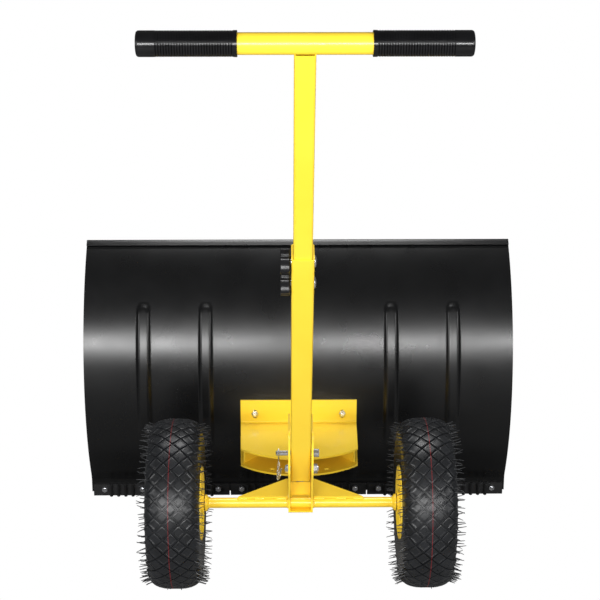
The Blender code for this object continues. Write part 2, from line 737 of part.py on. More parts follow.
cut(channel, plate([lock_slot()], 0.08), frame_axis, (0, POST_PIVOT_AHEAD, POST_PIVOT_HEIGHT), SIDEWAYS)

# Tongue: a smaller channel welded inside the frame channel, with the swivel barrel at its front
tongue_half = inner_half - GAP
tongue_low = BOTTOM_PLATE_HEIGHT + 0.001
tongue_high = tongue_low + TONGUE_HEIGHT
tongue = put(
    "swivel_tongue",
    box(-tongue_half, tongue_half, TONGUE_START, SWIVEL_AHEAD - 0.004, tongue_low, tongue_high),
    YELLOW,
    frame_axis,
)
cut(
    tongue,
    box(
        -tongue_half + CHANNEL_PLATE,
        tongue_half - CHANNEL_PLATE,
        TONGUE_START - 0.01,
        SWIVEL_AHEAD + 0.01,
        tongue_low + CHANNEL_PLATE,
        tongue_high + 0.01,
    ),
    frame_axis,
)
barrel_low = BOTTOM_PLATE_HEIGHT + GAP
barrel_high = TOP_PLATE_HEIGHT - PLATE - GAP
cut(tongue, rod(BARREL_RADIUS, barrel_low, barrel_high, 24), frame_axis, (0, SWIVEL_AHEAD, 0), operation="UNION")
cut(tongue, rod(SWIVEL_BOLT_RADIUS + TURN_PLAY, 0.1, 0.2, 20), frame_axis, (0, SWIVEL_AHEAD, 0))
plunger_ahead = SWIVEL_AHEAD - INDEX_RADIUS
cut(tongue, rod(PLUNGER_RADIUS + TURN_PLAY, 0.1, 0.2, 12), frame_axis, (0, plunger_ahead, 0))

# Index plunger: a pin with a lever to the rear, held up clear of the index holes
plunger_low = tongue_low + GAP
lever_low = tongue_low + CHANNEL_PLATE + PLUNGER_TRAVEL + 0.001
plunger = put(
    "index_plunger",
    rod(PLUNGER_RADIUS, plunger_low, lever_low + 0.006, 12),
    ZINC,
    frame_axis,
    (0, plunger_ahead, 0),
)
cut(plunger, box(-0.006, 0.006, -0.095, 0.006, lever_low, lever_low + 0.003), frame_axis, (0, plunger_ahead, 0), operation="UNION")

# Axle with its two collars, the gussets, and what keeps the wheels on
axle_end = WHEEL_SIDE + HUB_OUTER + AXLE_OVERHANG
collar_face = WHEEL_SIDE - HUB_INNER - 2 * GAP
half_axle = [
    (AXLE_RADIUS, collar_face),
    (COLLAR_RADIUS, collar_face),
    (COLLAR_RADIUS, collar_face - 0.003),
    (AXLE_RADIUS, collar_face - 0.007),
]
profile_down = [(0, axle_end), (AXLE_RADIUS, axle_end)] + half_axle
profile_down += [(radius, -place) for radius, place in reversed(profile_down)]
axle = put("axle", turned(profile_down, 14), YELLOW, frame_axis, (0, 0, AXLE_HEIGHT), ALONG_X)
washer_low = WHEEL_SIDE + HUB_OUTER + 2 * GAP
cotter_place = washer_low + WASHER_THICKNESS + COTTER_RADIUS + 0.001
for side, name in ((-1, "left"), (1, "right")):
    cut(axle, rod(COTTER_RADIUS + GAP, -0.02, 0.02, 10), frame_axis, (side * cotter_place, 0, AXLE_HEIGHT))
    ring = [
        (side * cotter_place, 0.0045 * math.sin(a), 0.0145 - 0.0045 * math.cos(a))
        for a in [math.radians(15 + 300 * i / 7) for i in range(8)]
    ]
    put(
        f"cotter_pin_{name}",
        wire([(side * cotter_place, 0, -0.014), (side * cotter_place, 0, 0.0085)] + ring[1:], COTTER_RADIUS),
        ZINC,
        frame_axis,
        (0, 0, AXLE_HEIGHT),
    )
    put(
        f"axle_washer_{name}",
        pipe(WASHER_RADIUS, AXLE_RADIUS + GAP, washer_low, washer_low + WASHER_THICKNESS, 14),
        ZINC,
        frame_axis,
        (0, 0, AXLE_HEIGHT),
        (0, side * math.pi / 2, 0),
    )
    root = CHANNEL_WIDTH / 2 + GAP
    corners = [
        (root, GUSSET_BACK),
        (root + GUSSET_SIDE, GUSSET_BACK),
        (root + GUSSET_SIDE - 0.002, GUSSET_BACK + 0.003),
        (root + 0.003, GUSSET_FRONT),
        (root, GUSSET_FRONT),
    ]
    put(
        f"gusset_{name}",
        plate([[(side * x, y) for x, y in corners]], GUSSET_THICKNESS),
        YELLOW,
        frame_axis,
        (0, 0, AXLE_HEIGHT + AXLE_RADIUS + GAP + GUSSET_THICKNESS / 2),
    )

# Pivot bolt of the post, its head to the left
channel_half = CHANNEL_WIDTH / 2
put(
    "post_pivot_bolt",
    bolt(PIN_RADIUS, (0.0075, 0.006), (0.0075, 0.0065), CHANNEL_WIDTH + 2 * GAP, 0.002),
    ZINC,
    frame_axis,
    (-channel_half - GAP, POST_PIVOT_AHEAD, POST_PIVOT_HEIGHT),
    ALONG_X,
)

# Lower post: outer square tube
lower_length = OUTER_TOP + OUTER_BELOW
lower_post = put(
    "lower_post",
    plate([square(OUTER_TUBE, TUBE_CORNER), square(OUTER_TUBE - 2 * OUTER_WALL, TUBE_CORNER / 3)], lower_length),
    YELLOW,
    post_axis,
    (0, 0, lower_length / 2 - OUTER_BELOW),
)
for place in (0, LOCK_DISTANCE, *KNOB_BOLTS):
    cut(lower_post, rod(PIN_RADIUS + BOLT_PLAY, -0.04, 0.04, 10), post_axis, (0, 0, place), ALONG_X)

# Lock pin, with its cross hole and spring clip, and the chain that keeps both
lock_pin = put(
    "lock_pin",
    turned(
        [
            (0, channel_half + LOCK_PIN_HEAD),
            (0.0060, channel_half + LOCK_PIN_HEAD),
            (0.0065, channel_half + LOCK_PIN_HEAD - 0.001),
            (0.0065, channel_half + GAP),
            (PIN_RADIUS, channel_half + GAP),
            (PIN_RADIUS, 0.0015 - channel_half - LOCK_PIN_TAIL),
            (PIN_RADIUS - 0.0015, -channel_half - LOCK_PIN_TAIL),
            (0, -channel_half - LOCK_PIN_TAIL),
        ],
        10,
    ),
    ZINC,
    post_axis,
    (0, 0, LOCK_DISTANCE),
    ALONG_X,
)
CLIP_RADIUS = 0.0010
clip_side = -channel_half - LOCK_PIN_TAIL + CLIP_MARGIN
cut(lock_pin, rod(CLIP_RADIUS + GAP, -0.02, 0.02, 8), post_axis, (clip_side, 0, LOCK_DISTANCE))
clip_points = [(0, 0, 0.010), (0, 0, -0.016)]
clip_points += [(0, -0.0035 * math.sin(a), -0.016 - 0.0035 * (1 - math.cos(a)) * 0.5) for a in (0.6, 1.2)]
clip_points += [(0, -0.0070, -0.0165), (0, -0.0072, -0.012), (0, -0.0066, -0.006), (0, -0.0062, 0.0)]
clip_points += [(0, -0.0066, 0.005), (0, -0.0078, 0.009)]
put("lock_pin_clip", wire(clip_points, CLIP_RADIUS), ZINC, post_axis, (clip_side, 0, LOCK_DISTANCE))
chain_points = [
    (-channel_half - 0.0145, -0.0062, 0.0235),
    (-channel_half - 0.0155, -0.0105, 0.0150),
    (-channel_half - 0.0160, -0.0135, 0.0030),
    (-channel_half - 0.0158, -0.0130, -0.0085),
    (-channel_half - 0.0148, -0.0075, -0.0150),
    (-channel_half - 0.0132, -0.0010, -0.0155),
    (-channel_half - 0.0118, 0.0030, -0.0105),
    (-channel_half - 0.0110, 0.0025, -0.0050),
    (-channel_half - 0.0106, 0.0010, -0.0010),
]
put("lock_pin_chain", wire(chain_points, 0.0013), ZINC, post_axis)

# Bolts and star knobs that clamp the upper tube
outer_half = OUTER_TUBE / 2
knob_face = outer_half + 0.0008


def knob_outline():
    """Star of round lobes."""
    count = KNOB_LOBES * 6
    loop = []
    for i in range(count):
        a = 2 * math.pi * i / count
        radius = KNOB_RADIUS * (0.90 + 0.10 * math.cos(KNOB_LOBES * a))
        loop.append((radius * math.cos(a), radius * math.sin(a)))
    return loop


for place, name in zip(KNOB_BOLTS, ("lower", "upper")):
    clamp_bolt = turned(
        [
            (0, outer_half + 0.0035),
            (0.0045, outer_half + 0.0032),
            (0.0080, outer_half + 0.0015),
            (0.0086, outer_half + GAP),
            (PIN_RADIUS, outer_half + GAP),
            (PIN_RADIUS, -outer_half - 0.0120),
            (0, -outer_half - 0.0120),
        ],
        10,
    )
    put(f"clamp_bolt_{name}", clamp_bolt, ZINC, post_axis, (0, 0, place), ALONG_X)
    turn = axis(f"knob_turn_{name}", (-knob_face, 0, place), (0, -math.pi / 2, 0), post_axis)
    knob = put(
        f"star_knob_{name}",
        plate([knob_outline()], KNOB_LENGTH - 0.003),
        PLASTIC,
        turn,
        (0, 0, 0.003 + (KNOB_LENGTH - 0.003) / 2),
    )
    cut(knob, rod(0.0095, 0, 0.006, 18), turn, operation="UNION")
    cut(knob, rod(PIN_RADIUS + TURN_PLAY, -0.005, 0.012, 12), turn)

# Upper post: inner square tube, coped round the handlebar, with a long slot for the clamp bolts
upper_post = put(
    "upper_post",
    plate([square(INNER_TUBE, TUBE_CORNER), square(INNER_TUBE - 2 * INNER_WALL, TUBE_CORNER / 2)], INNER_LENGTH),
    YELLOW,
    slide_axis,
    (0, 0, HANDLE_DISTANCE - INNER_NOTCH - INNER_LENGTH / 2),
)
slot_low = KNOB_BOLTS[0] - SLIDE_UP
slot_high = KNOB_BOLTS[1] + SLIDE_DOWN
clamp_slot = plate([slot((slot_high - slot_low) / 2, PIN_RADIUS + 2 * BOLT_PLAY)], 0.06)
cut(upper_post, clamp_slot, slide_axis, (0, 0, (slot_low + slot_high) / 2), SIDEWAYS)
cut(upper_post, rod(HANDLEBAR_RADIUS + GAP, -0.05, 0.05, BAR_STEPS), slide_axis, (0, 0, HANDLE_DISTANCE), ALONG_X)

half_bar = HANDLEBAR_LENGTH / 2
put(
    "handlebar",
    pipe(HANDLEBAR_RADIUS, HANDLEBAR_RADIUS - HANDLEBAR_WALL, -half_bar, half_bar, BAR_STEPS),
    YELLOW,
    slide_axis,
    (0, 0, HANDLE_DISTANCE),
    ALONG_X,
)


def grip_profile():
    """Down the outside of a grip from its closed end, then back up its bore."""
    end = half_bar + GAP + GRIP_END
    start = end - GRIP_LENGTH
    down = [(0, end), (GRIP_RADIUS - 0.002, end), (GRIP_RADIUS, end - 0.0025)]
    first = end - 0.017
    for i in range(GRIP_RINGS):
        top = first - GRIP_RING_PITCH * i
        down += [(GRIP_RADIUS, top), (GRIP_RADIUS - 0.0012, top - GRIP_RING_PITCH * 0.5)]
    down += [(GRIP_RADIUS, first - GRIP_RING_PITCH * GRIP_RINGS), (GRIP_RADIUS, start)]
    bore = HANDLEBAR_RADIUS + GAP
    return down + [(bore, start), (bore, half_bar + GAP), (0, half_bar + GAP)]


for side, name in ((-1, "left"), (1, "right")):
    put(
        f"grip_{name}",
        turned(grip_profile(), BAR_STEPS),
        RUBBER,
        slide_axis,
        (0, 0, HANDLE_DISTANCE),
        (0, side * math.pi / 2, 0),
    )


# Wheels: local Z runs along the axle, away from the shovel's middle
def tyre_profile():
    """Round the tyre's section: over the tread, down the sidewalls, and back inside."""
    w = TYRE_HALF_WIDTH
    r = WHEEL_RADIUS
    bead = (RIM_SEAT_RADIUS + GAP) / math.cos(math.pi / TYRE_STEPS)
    bead_side = RIM_HALF_WIDTH - 0.003 - 2 * GAP
    outer = [
        (r, 0),
        (r - 0.0015, w * 0.48),
        (r - 0.0075, w * 0.80),
        (r - 0.0320, w),
        (bead, bead_side),
    ]
    inner = [
        (bead, w * 0.62),
        (r - 0.0330, w * 0.86),
        (r - 0.0095, 0),
    ]
    down = [(radius, side) for radius, side in reversed(outer)]
    down += [(radius, -side) for radius, side in outer[1:]]
    back = [(radius, -side) for radius, side in inner]
    back += [(radius, side) for radius, side in reversed(inner[:-1])]
    return down + back


def shell(path, thickness):
    """A closed section that follows a path of radii and sides, its thickness towards the axle."""
    inner = []
    for i, (radius, side) in enumerate(path):
        before = path[max(0, i - 1)]
        after = path[min(len(path) - 1, i + 1)]
        run_r, run_s = after[0] - before[0], after[1] - before[1]
        length = math.hypot(run_r, run_s)
        inner.append((radius + run_s / length * thickness, side - run_r / length * thickness))
    return path + inner[::-1]


def ring_profile():
    """Rim ring: lips, bead seats and a well between."""
    w = RIM_HALF_WIDTH
    half = [
        (RIM_LIP_RADIUS, w),
        (RIM_SEAT_RADIUS, w - 0.003),
        (RIM_SEAT_RADIUS, w - 0.020),
        (RIM_WELL_RADIUS, w - 0.026),
    ]
    return half + [(radius, -side) for radius, side in reversed(half)]


def disc_profile(hub_side):
    """Dished disc: from its hub edge out over a flat land to the edge welded inside the rim ring."""
    edge = RIM_SEAT_RADIUS - SHEET - 2 * GAP
    return [
        (HUB_RADIUS + GAP, hub_side),
        (HUB_RADIUS + 0.006, hub_side),
        (VALVE_CIRCLE - 0.0065, 0.0345),
        (edge, 0.0345),
        (edge, 0.021),
    ]


def wheel(name, side):
    """One wheel about its own axis."""
    turn = axis(f"{name}_turn", (side * WHEEL_SIDE, AXLE_Y, AXLE_HEIGHT), (0, side * math.pi / 2, 0))
    put(f"{name}_tyre", turned(tyre_profile(), TYRE_STEPS, closed=True), RUBBER, turn)
    put(f"{name}_rim_ring", turned(shell(ring_profile(), SHEET), RIM_STEPS, closed=True), YELLOW, turn)
    inner = turned(shell(disc_profile(HUB_INNER - 0.004), SHEET), RIM_STEPS, closed=True)
    outer = turned(shell(disc_profile(HUB_OUTER - 0.002), SHEET), RIM_STEPS, closed=True)
    put(f"{name}_inner_disc", inner, YELLOW, turn, (0, 0, 0), (math.pi, 0, 0))
    outer_disc = put(f"{name}_outer_disc", outer, YELLOW, turn)
    put(f"{name}_hub", pipe(HUB_RADIUS, HUB_RADIUS - HUB_WALL, -HUB_INNER, HUB_OUTER, 16), YELLOW, turn)
    bearing = pipe(HUB_RADIUS - HUB_WALL - GAP, AXLE_RADIUS + TURN_PLAY, -BEARING_WIDTH / 2, BEARING_WIDTH / 2, 12)
    seat = BEARING_WIDTH / 2 + 0.001
    put(f"{name}_inner_bearing", bearing, STEEL, turn, (0, 0, -HUB_INNER + seat))
    put(f"{name}_outer_bearing", bearing, STEEL, turn, (0, 0, HUB_OUTER - seat))
    stem = [
        (0, 0.052),
        (VALVE_RADIUS - 0.001, 0.052),
        (VALVE_RADIUS - 0.001, 0.046),
        (VALVE_RADIUS, 0.045),
        (VALVE_RADIUS, 0.0320),
        (VALVE_RADIUS + 0.0015, 0.0320),
        (VALVE_RADIUS + 0.0015, 0.0290),
        (0, 0.0290),
    ]
    put(f"{name}_valve", turned(stem, 8), RUBBER, turn, (0, VALVE_CIRCLE, 0))
    cut(outer_disc, rod(VALVE_RADIUS + GAP, 0.01, 0.06, 10), turn, (0, VALVE_CIRCLE, 0))


wheel("left_wheel", -1)
wheel("right_wheel", 1)
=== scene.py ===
import math
import random

import bmesh
import bpy
from mathutils import Matrix, Vector


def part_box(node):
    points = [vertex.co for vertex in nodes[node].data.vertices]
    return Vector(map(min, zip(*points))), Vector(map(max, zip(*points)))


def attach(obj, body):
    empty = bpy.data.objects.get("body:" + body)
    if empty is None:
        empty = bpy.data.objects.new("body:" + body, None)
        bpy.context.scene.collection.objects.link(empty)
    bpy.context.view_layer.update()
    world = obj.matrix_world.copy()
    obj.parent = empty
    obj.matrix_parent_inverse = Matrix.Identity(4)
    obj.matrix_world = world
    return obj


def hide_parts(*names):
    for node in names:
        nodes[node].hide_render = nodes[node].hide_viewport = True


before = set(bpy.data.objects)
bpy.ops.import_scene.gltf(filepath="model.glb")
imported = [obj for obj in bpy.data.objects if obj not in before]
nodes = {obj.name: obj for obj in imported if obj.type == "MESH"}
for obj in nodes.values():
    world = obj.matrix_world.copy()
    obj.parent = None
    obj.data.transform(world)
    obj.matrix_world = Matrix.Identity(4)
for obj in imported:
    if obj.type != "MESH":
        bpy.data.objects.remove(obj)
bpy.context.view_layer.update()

# The studio: a white floor and background that act darker in reflections, three flat strip lights behind
# the person pushing, a box on each side, and a dim narrow one high in front, aimed back at the bracket.
# The camera stands behind the handle, a little to its left.
axle_low, axle_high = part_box("axle")
AXLE_Y = (axle_low[1] + axle_high[1]) / 2
AXLE_Z = (axle_low[2] + axle_high[2]) / 2

camera_data = bpy.data.cameras.new("camera")
camera_data.lens = 87.0
camera_data.sensor_width = 36.0
camera = bpy.data.objects.new("camera", camera_data)
camera.location = (-0.0243, AXLE_Y - 2.075, 1.085)
camera.rotation_euler = (math.radians(90 - 16.73), 0, math.radians(-0.65))
bpy.context.collection.objects.link(camera)
bpy.context.scene.camera = camera
bpy.context.scene.view_settings.view_transform = "Standard"

world = bpy.data.worlds.new("studio")
bpy.context.scene.world = world
world.use_nodes = True
sky = world.node_tree.nodes
sky_links = world.node_tree.links
seen = sky.new("ShaderNodeBackground")
seen.inputs["Color"].default_value = (1.0, 1.0, 1.0, 1.0)
seen.inputs["Strength"].default_value = 1.0
around = sky["Background"]
around.inputs["Color"].default_value = (1.0, 1.0, 1.0, 1.0)
around.inputs["Strength"].default_value = 0.14
path = sky.new("ShaderNodeLightPath")
choice = sky.new("ShaderNodeMixShader")
sky_links.new(path.outputs["Is Camera Ray"], choice.inputs["Fac"])
sky_links.new(around.outputs["Background"], choice.inputs[1])
sky_links.new(seen.outputs["Background"], choice.inputs[2])
sky_links.new(choice.outputs["Shader"], sky["World Output"].inputs["Surface"])


def soft_box(name, place, aim, width, height, watts):
    """A rectangular area light aimed at a point."""
    data = bpy.data.lights.new(name, "AREA")
    data.shape = "RECTANGLE"
    data.size = width
    data.size_y = height
    data.energy = watts
    light = bpy.data.objects.new(name, data)
    light.location = place
    light.rotation_euler = (Vector(aim) - Vector(place)).to_track_quat("-Z", "Y").to_euler()
    bpy.context.collection.objects.link(light)
    return data


soft_box("strip_left", (-0.72, -2.3, 1.03), (-0.1, 0.2, 0.30), 0.72, 0.15, 31)
soft_box("strip_middle", (0.02, -2.3, 1.03), (0.0, 0.2, 0.30), 0.70, 0.15, 17)
soft_box("strip_right", (0.74, -2.3, 1.03), (0.1, 0.2, 0.30), 0.72, 0.15, 22)
soft_box("left_box", (-2.3, -1.5, 1.1), (0.0, 0.0, 0.3), 1.0, 1.0, 20)
soft_box("right_box", (2.3, -1.5, 1.1), (0.0, 0.0, 0.3), 1.0, 1.0, 20)
forward = soft_box("forward_box", (0.0, 0.62, 2.0), (0.0, 0.17, 0.15), 0.8, 0.35, 1.5)
forward.spread = math.radians(48)

bpy.ops.object.select_all(action="DESELECT")
bpy.ops.mesh.primitive_plane_add(size=30, location=(0, 0, -0.0002))
floor = bpy.context.object
floor.name = "floor"
floor_finish = bpy.data.materials.new("white_floor")
floor_finish.use_nodes = True
floor_tree = floor_finish.node_tree
board = floor_tree.nodes["Principled BSDF"]
board.inputs["Base Color"].default_value = (0.30, 0.30, 0.30, 1)
board.inputs["Roughness"].default_value = 0.9
board.inputs["Specular IOR Level"].default_value = 0.05
glow = floor_tree.nodes.new("ShaderNodeEmission")
glow.inputs["Color"].default_value = (1, 1, 1, 1)
glow.inputs["Strength"].default_value = 1.0
floor_path = floor_tree.nodes.new("ShaderNodeLightPath")
floor_choice = floor_tree.nodes.new("ShaderNodeMixShader")
floor_tree.links.new(floor_path.outputs["Is Camera Ray"], floor_choice.inputs["Fac"])
floor_tree.links.new(board.outputs["BSDF"], floor_choice.inputs[1])
floor_tree.links.new(glow.outputs["Emission"], floor_choice.inputs[2])
floor_tree.links.new(floor_choice.outputs["Shader"], floor_tree.nodes["Material Output"].inputs["Surface"])
floor.data.materials.append(floor_finish)


# Yellow frame: laser-cut 3 mm plate and welded tube, powder coated in one glossy yellow. The coat has a
# fine orange peel and is a little darker in patches. The round axle has a collar inside each wheel.
def powder_coat(name, colour, shade, roughness, peel, coat):
    """Baked powder paint: fine orange peel, slow change of tone, and small changes of gloss."""
    made = bpy.data.materials.new(name)
    made.use_nodes = True
    tree = made.node_tree
    paint = tree.nodes["Principled BSDF"]
    paint.inputs["Coat Weight"].default_value = coat
    paint.inputs["Coat Roughness"].default_value = 0.12
    paint.inputs["Specular IOR Level"].default_value = 0.5
    place = tree.nodes.new("ShaderNodeTexCoord")
    slow = tree.nodes.new("ShaderNodeTexNoise")
    slow.inputs["Scale"].default_value = 14
    slow.inputs["Detail"].default_value = 3
    tree.links.new(place.outputs["Object"], slow.inputs["Vector"])
    tone = tree.nodes.new("ShaderNodeValToRGB")
    tone.color_ramp.elements[0].position = 0.3
    tone.color_ramp.elements[0].color = (*shade, 1)
    tone.color_ramp.elements[1].position = 0.7
    tone.color_ramp.elements[1].color = (*colour, 1)
    tree.links.new(slow.outputs["Fac"], tone.inputs["Fac"])
    tree.links.new(tone.outputs["Color"], paint.inputs["Base Color"])
    gloss = tree.nodes.new("ShaderNodeMapRange")
    gloss.inputs["To Min"].default_value = roughness - 0.05
    gloss.inputs["To Max"].default_value = roughness + 0.07
    tree.links.new(slow.outputs["Fac"], gloss.inputs["Value"])
    tree.links.new(gloss.outputs["Result"], paint.inputs["Roughness"])
    fine = tree.nodes.new("ShaderNodeTexNoise")
    fine.inputs["Scale"].default_value = 900
    fine.inputs["Detail"].default_value = 2
    tree.links.new(place.outputs["Object"], fine.inputs["Vector"])
    skin = tree.nodes.new("ShaderNodeBump")
    skin.inputs["Strength"].default_value = peel
    skin.inputs["Distance"].default_value = 0.0003
    tree.links.new(fine.outputs["Fac"], skin.inputs["Height"])
    tree.links.new(skin.outputs["Normal"], paint.inputs["Normal"])
    return made


yellow = powder_coat("yellow_powder_coat", (0.95, 0.66, 0.040), (0.92, 0.62, 0.032), 0.30, 0.10, 0.20)
YELLOW_NODES = (
    "frame_channel",
    "swivel_tongue",
    "gusset_left",
    "gusset_right",
    "bracket_top_plate",
    "bracket_bottom_plate",
    "lower_post",
    "upper_post",
)


def coat(name, finish):
    """Gives one CAD piece its finish."""
    for place in nodes[name].material_slots:
        place.material = finish


for name in YELLOW_NODES:
    coat(name, yellow)


def smooth(piece, angle=35):
    """Smooth faces, with edges sharper than the angle left crisp."""
    bpy.ops.object.select_all(action="DESELECT")
    piece.select_set(True)
    bpy.context.view_layer.objects.active = piece
    bpy.ops.object.shade_smooth_by_angle(angle=math.radians(angle))


def pick_edges(piece, chosen):
    """Selects, in edit mode, only the edges that pass a test."""
    bpy.ops.mesh.select_all(action="DESELECT")
    shape = bmesh.from_edit_mesh(piece.data)
    for edge in shape.edges:
        edge.select = chosen(edge)
    bmesh.update_edit_mesh(piece.data)


def turned_bar(name, low, high, cuts, sides, radius_at, centre):
    """A round bar along X, added as a cylinder, cut across and drawn to its radius at each place."""
    bpy.ops.object.select_all(action="DESELECT")
    bpy.ops.mesh.primitive_cylinder_add(
        vertices=sides,
        radius=0.01,
        depth=high - low,
        location=((low + high) / 2, centre[0], centre[1]),
        rotation=(0, math.pi / 2, 0),
    )
    bar = bpy.context.object
    bpy.ops.object.transform_apply(location=True, rotation=True, scale=True)
    bpy.ops.object.mode_set(mode="EDIT")
    for count in cuts:
        pick_edges(bar, lambda edge: abs(edge.verts[0].co.x - edge.verts[1].co.x) > 0.0001)
        bpy.ops.mesh.subdivide(number_cuts=count)
    bpy.ops.object.mode_set(mode="OBJECT")
    for vertex in bar.data.vertices:
        y, z = vertex.co.y - centre[0], vertex.co.z - centre[1]
        length = math.hypot(y, z)
        radius = radius_at(vertex.co.x)
        vertex.co.y = centre[0] + y / length * radius
        vertex.co.z = centre[1] + z / length * radius
    bar.name = name
    return bar


AXLE_HALF = 0.232
AXLE_RADIUS = 0.008
AXLE_CHAMFER = 0.0008
COLLAR_START = 0.1424
COLLAR_FULL = 0.1458
COLLAR_END = 0.1494
COLLAR_RISE = 0.005


def axle_radius(x):
    """Bare bar, with a collar welded on just inside each wheel and a chamfer at each end."""
    reach = abs(x)
    if COLLAR_FULL < reach < COLLAR_END:
        return AXLE_RADIUS + COLLAR_RISE
    if COLLAR_START < reach <= COLLAR_FULL:
        return AXLE_RADIUS + COLLAR_RISE * (reach - COLLAR_START) / (COLLAR_FULL - COLLAR_START)
    return AXLE_RADIUS - max(0.0, reach - AXLE_HALF + AXLE_CHAMFER)


axle = turned_bar("axle_bar", -AXLE_HALF, AXLE_HALF, (99, 3), 40, axle_radius, (AXLE_Y, AXLE_Z))
axle.data.materials.append(yellow)
smooth(axle, 30)
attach(axle, "frame")
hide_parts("axle")


def joined(parts):
    """Makes one piece of several."""
    bpy.ops.object.select_all(action="DESELECT")
    for part in parts:
        part.select_set(True)
    bpy.context.view_layer.objects.active = parts[0]
    bpy.ops.object.join()
    return bpy.context.object


def weld_bead(name, start, end, radius, normal, body, seed):
    """A stitch of arc weld: overlapping flattened drops along a line."""
    chance = random.Random(seed)
    run = Vector(end) - Vector(start)
    count = max(3, int(run.length / (radius * 0.85)))
    drops = []
    for i in range(count + 1):
        bpy.ops.object.select_all(action="DESELECT")
        bpy.ops.mesh.primitive_uv_sphere_add(segments=12, ring_count=8, radius=radius)
        drop = bpy.context.object
        drop.scale = (1.15, 1.0 + chance.uniform(-0.1, 0.1), 0.85 + chance.uniform(-0.08, 0.08))
        drop.rotation_euler = run.to_track_quat("X", "Z").to_euler()
        drop.location = Vector(start) + run * (i / count) + Vector(normal) * chance.uniform(-0.0002, 0.0002)
        bpy.ops.object.transform_apply(location=True, rotation=True, scale=True)
        drops.append(drop)
    bead = joined(drops)
    remesh = bead.modifiers.new("melt", "REMESH")
    remesh.mode = "VOXEL"
    remesh.voxel_size = radius * 0.22
    bpy.ops.object.modifier_apply(modifier="melt")
    bead.name = name
    bead.data.materials.append(yellow)
    smooth(bead, 180)
    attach(bead, body)


gusset_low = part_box("gusset_right")[0]
GUSSET_RUNS = ((0.022, 0.036), (0.058, 0.070), (0.084, 0.096))
AXLE_WELD_SIDE = 0.0200
for side, name in ((-1, "left"), (1, "right")):
    for i, (near, far) in enumerate(GUSSET_RUNS):
        weld_bead(
            f"gusset_weld_{name}_{i + 1}",
            (side * near, gusset_low[1] - 0.0008, gusset_low[2] - 0.0002),
            (side * far, gusset_low[1] - 0.0008, gusset_low[2] - 0.0002),
            0.0019,
            (0, -1, 0),
            "frame",
            20 + i + side,
        )
    weld_bead(
        f"axle_weld_{name}",
        (side * AXLE_WELD_SIDE, AXLE_Y - 0.0080, AXLE_Z - 0.0040),
        (side * AXLE_WELD_SIDE, AXLE_Y - 0.0062, AXLE_Z + 0.0062),
        0.0018,
        (side, 0, 0),
        "frame",
        31 + side,
    )


def closing_plate():
    """The plate that closes the rear end of the tongue, between the channel's walls."""
    bpy.ops.object.select_all(action="DESELECT")
    bpy.ops.mesh.primitive_cube_add(size=1, location=(0, AXLE_Y + 0.0105, AXLE_Z + 0.0195))
    plate = bpy.context.object
    plate.scale = (0.0312, 0.0020, 0.0210)
    bpy.ops.object.transform_apply(location=True, rotation=True, scale=True)
    plate.name = "tongue_closing_plate"
    plate.data.materials.append(yellow)
    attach(plate, "frame")


closing_plate()


# Blade: one 2 mm steel sheet rolled to a shallow curve, with four pressed stiffening ribs, a folded top
# hem and a flat foot. It is powder coated in smooth satin black.
BLACK = (0.0022, 0.0023, 0.0026)
BLACK_SHADE = (0.0016, 0.0017, 0.0019)
black = powder_coat("black_powder_coat", BLACK, BLACK_SHADE, 0.275, 0.05, 0.0)
black.node_tree.nodes["Principled BSDF"].inputs["Specular IOR Level"].default_value = 0.45

BLADE_HALF = 0.370
SHEET = 0.002
REAR_RADIUS = 0.328
FRONT_RADIUS = 0.326
CHORD_LEAN = 9.7
HALF_ARC = 39.95
FOOT_ANGLE = math.radians(CHORD_LEAN - HALF_ARC)
TOP_ANGLE = math.radians(CHORD_LEAN + HALF_ARC)
FOOT_REAR = 0.325
FOOT_BOTTOM = 0.006
FOOT_HEIGHT = 0.0286
FOOT_STEP = 0.0045
CREASE_HEIGHT = 0.0346
CURVE_Y = AXLE_Y + FOOT_REAR + REAR_RADIUS * math.cos(FOOT_ANGLE)
CURVE_Z = CREASE_HEIGHT - REAR_RADIUS * math.sin(FOOT_ANGLE)
CURVE_STEPS = 84
HEM_RADIUS = 0.003
HEM_STEPS = 10
HEM_RETURN = 0.005
IN_HEM = 1.0
RIB_PLACES = (-0.267, -0.160, 0.160, 0.267)
RIB_HALF = 0.013
RIB_HEIGHT = 0.005
RIB_START = 0.070
RIB_FADE = 0.070
RIB_TOP = 0.325


def sheet_rows():
    """The sheet's front face from its foot up, as (ahead, height, distance from the crease, facing angle)."""
    rows = []
    for i in range(6):
        rise = FOOT_STEP * i
        rows.append((AXLE_Y + FOOT_REAR + SHEET, FOOT_BOTTOM + rise, rise - FOOT_HEIGHT, -0.05))
    rows.append((AXLE_Y + 0.3268, 0.0318, -0.002, -0.2))
    for i in range(1, CURVE_STEPS + 1):
        a = FOOT_ANGLE + (TOP_ANGLE - FOOT_ANGLE) * i / CURVE_STEPS
        place = (CURVE_Y - FRONT_RADIUS * math.cos(a), CURVE_Z + FRONT_RADIUS * math.sin(a))
        rows.append((*place, REAR_RADIUS * (a - FOOT_ANGLE), a))
    last = rows[-1]
    rear = (-math.cos(TOP_ANGLE), math.sin(TOP_ANGLE))
    up = (math.sin(TOP_ANGLE), math.cos(TOP_ANGLE))
    for i in range(1, HEM_STEPS + 1):
        a = math.pi * i / HEM_STEPS
        out, rise = HEM_RADIUS * (1 - math.cos(a)), HEM_RADIUS * math.sin(a)
        ahead = last[0] + rear[0] * out + up[0] * rise
        height = last[1] + rear[1] * out + up[1] * rise
        rows.append((ahead, height, IN_HEM, TOP_ANGLE))
    end = rows[-1]
    for i in (1, 2):
        rows.append((end[0] - up[0] * HEM_RETURN * i, end[1] - up[1] * HEM_RETURN * i, IN_HEM, TOP_ANGLE))
    return rows


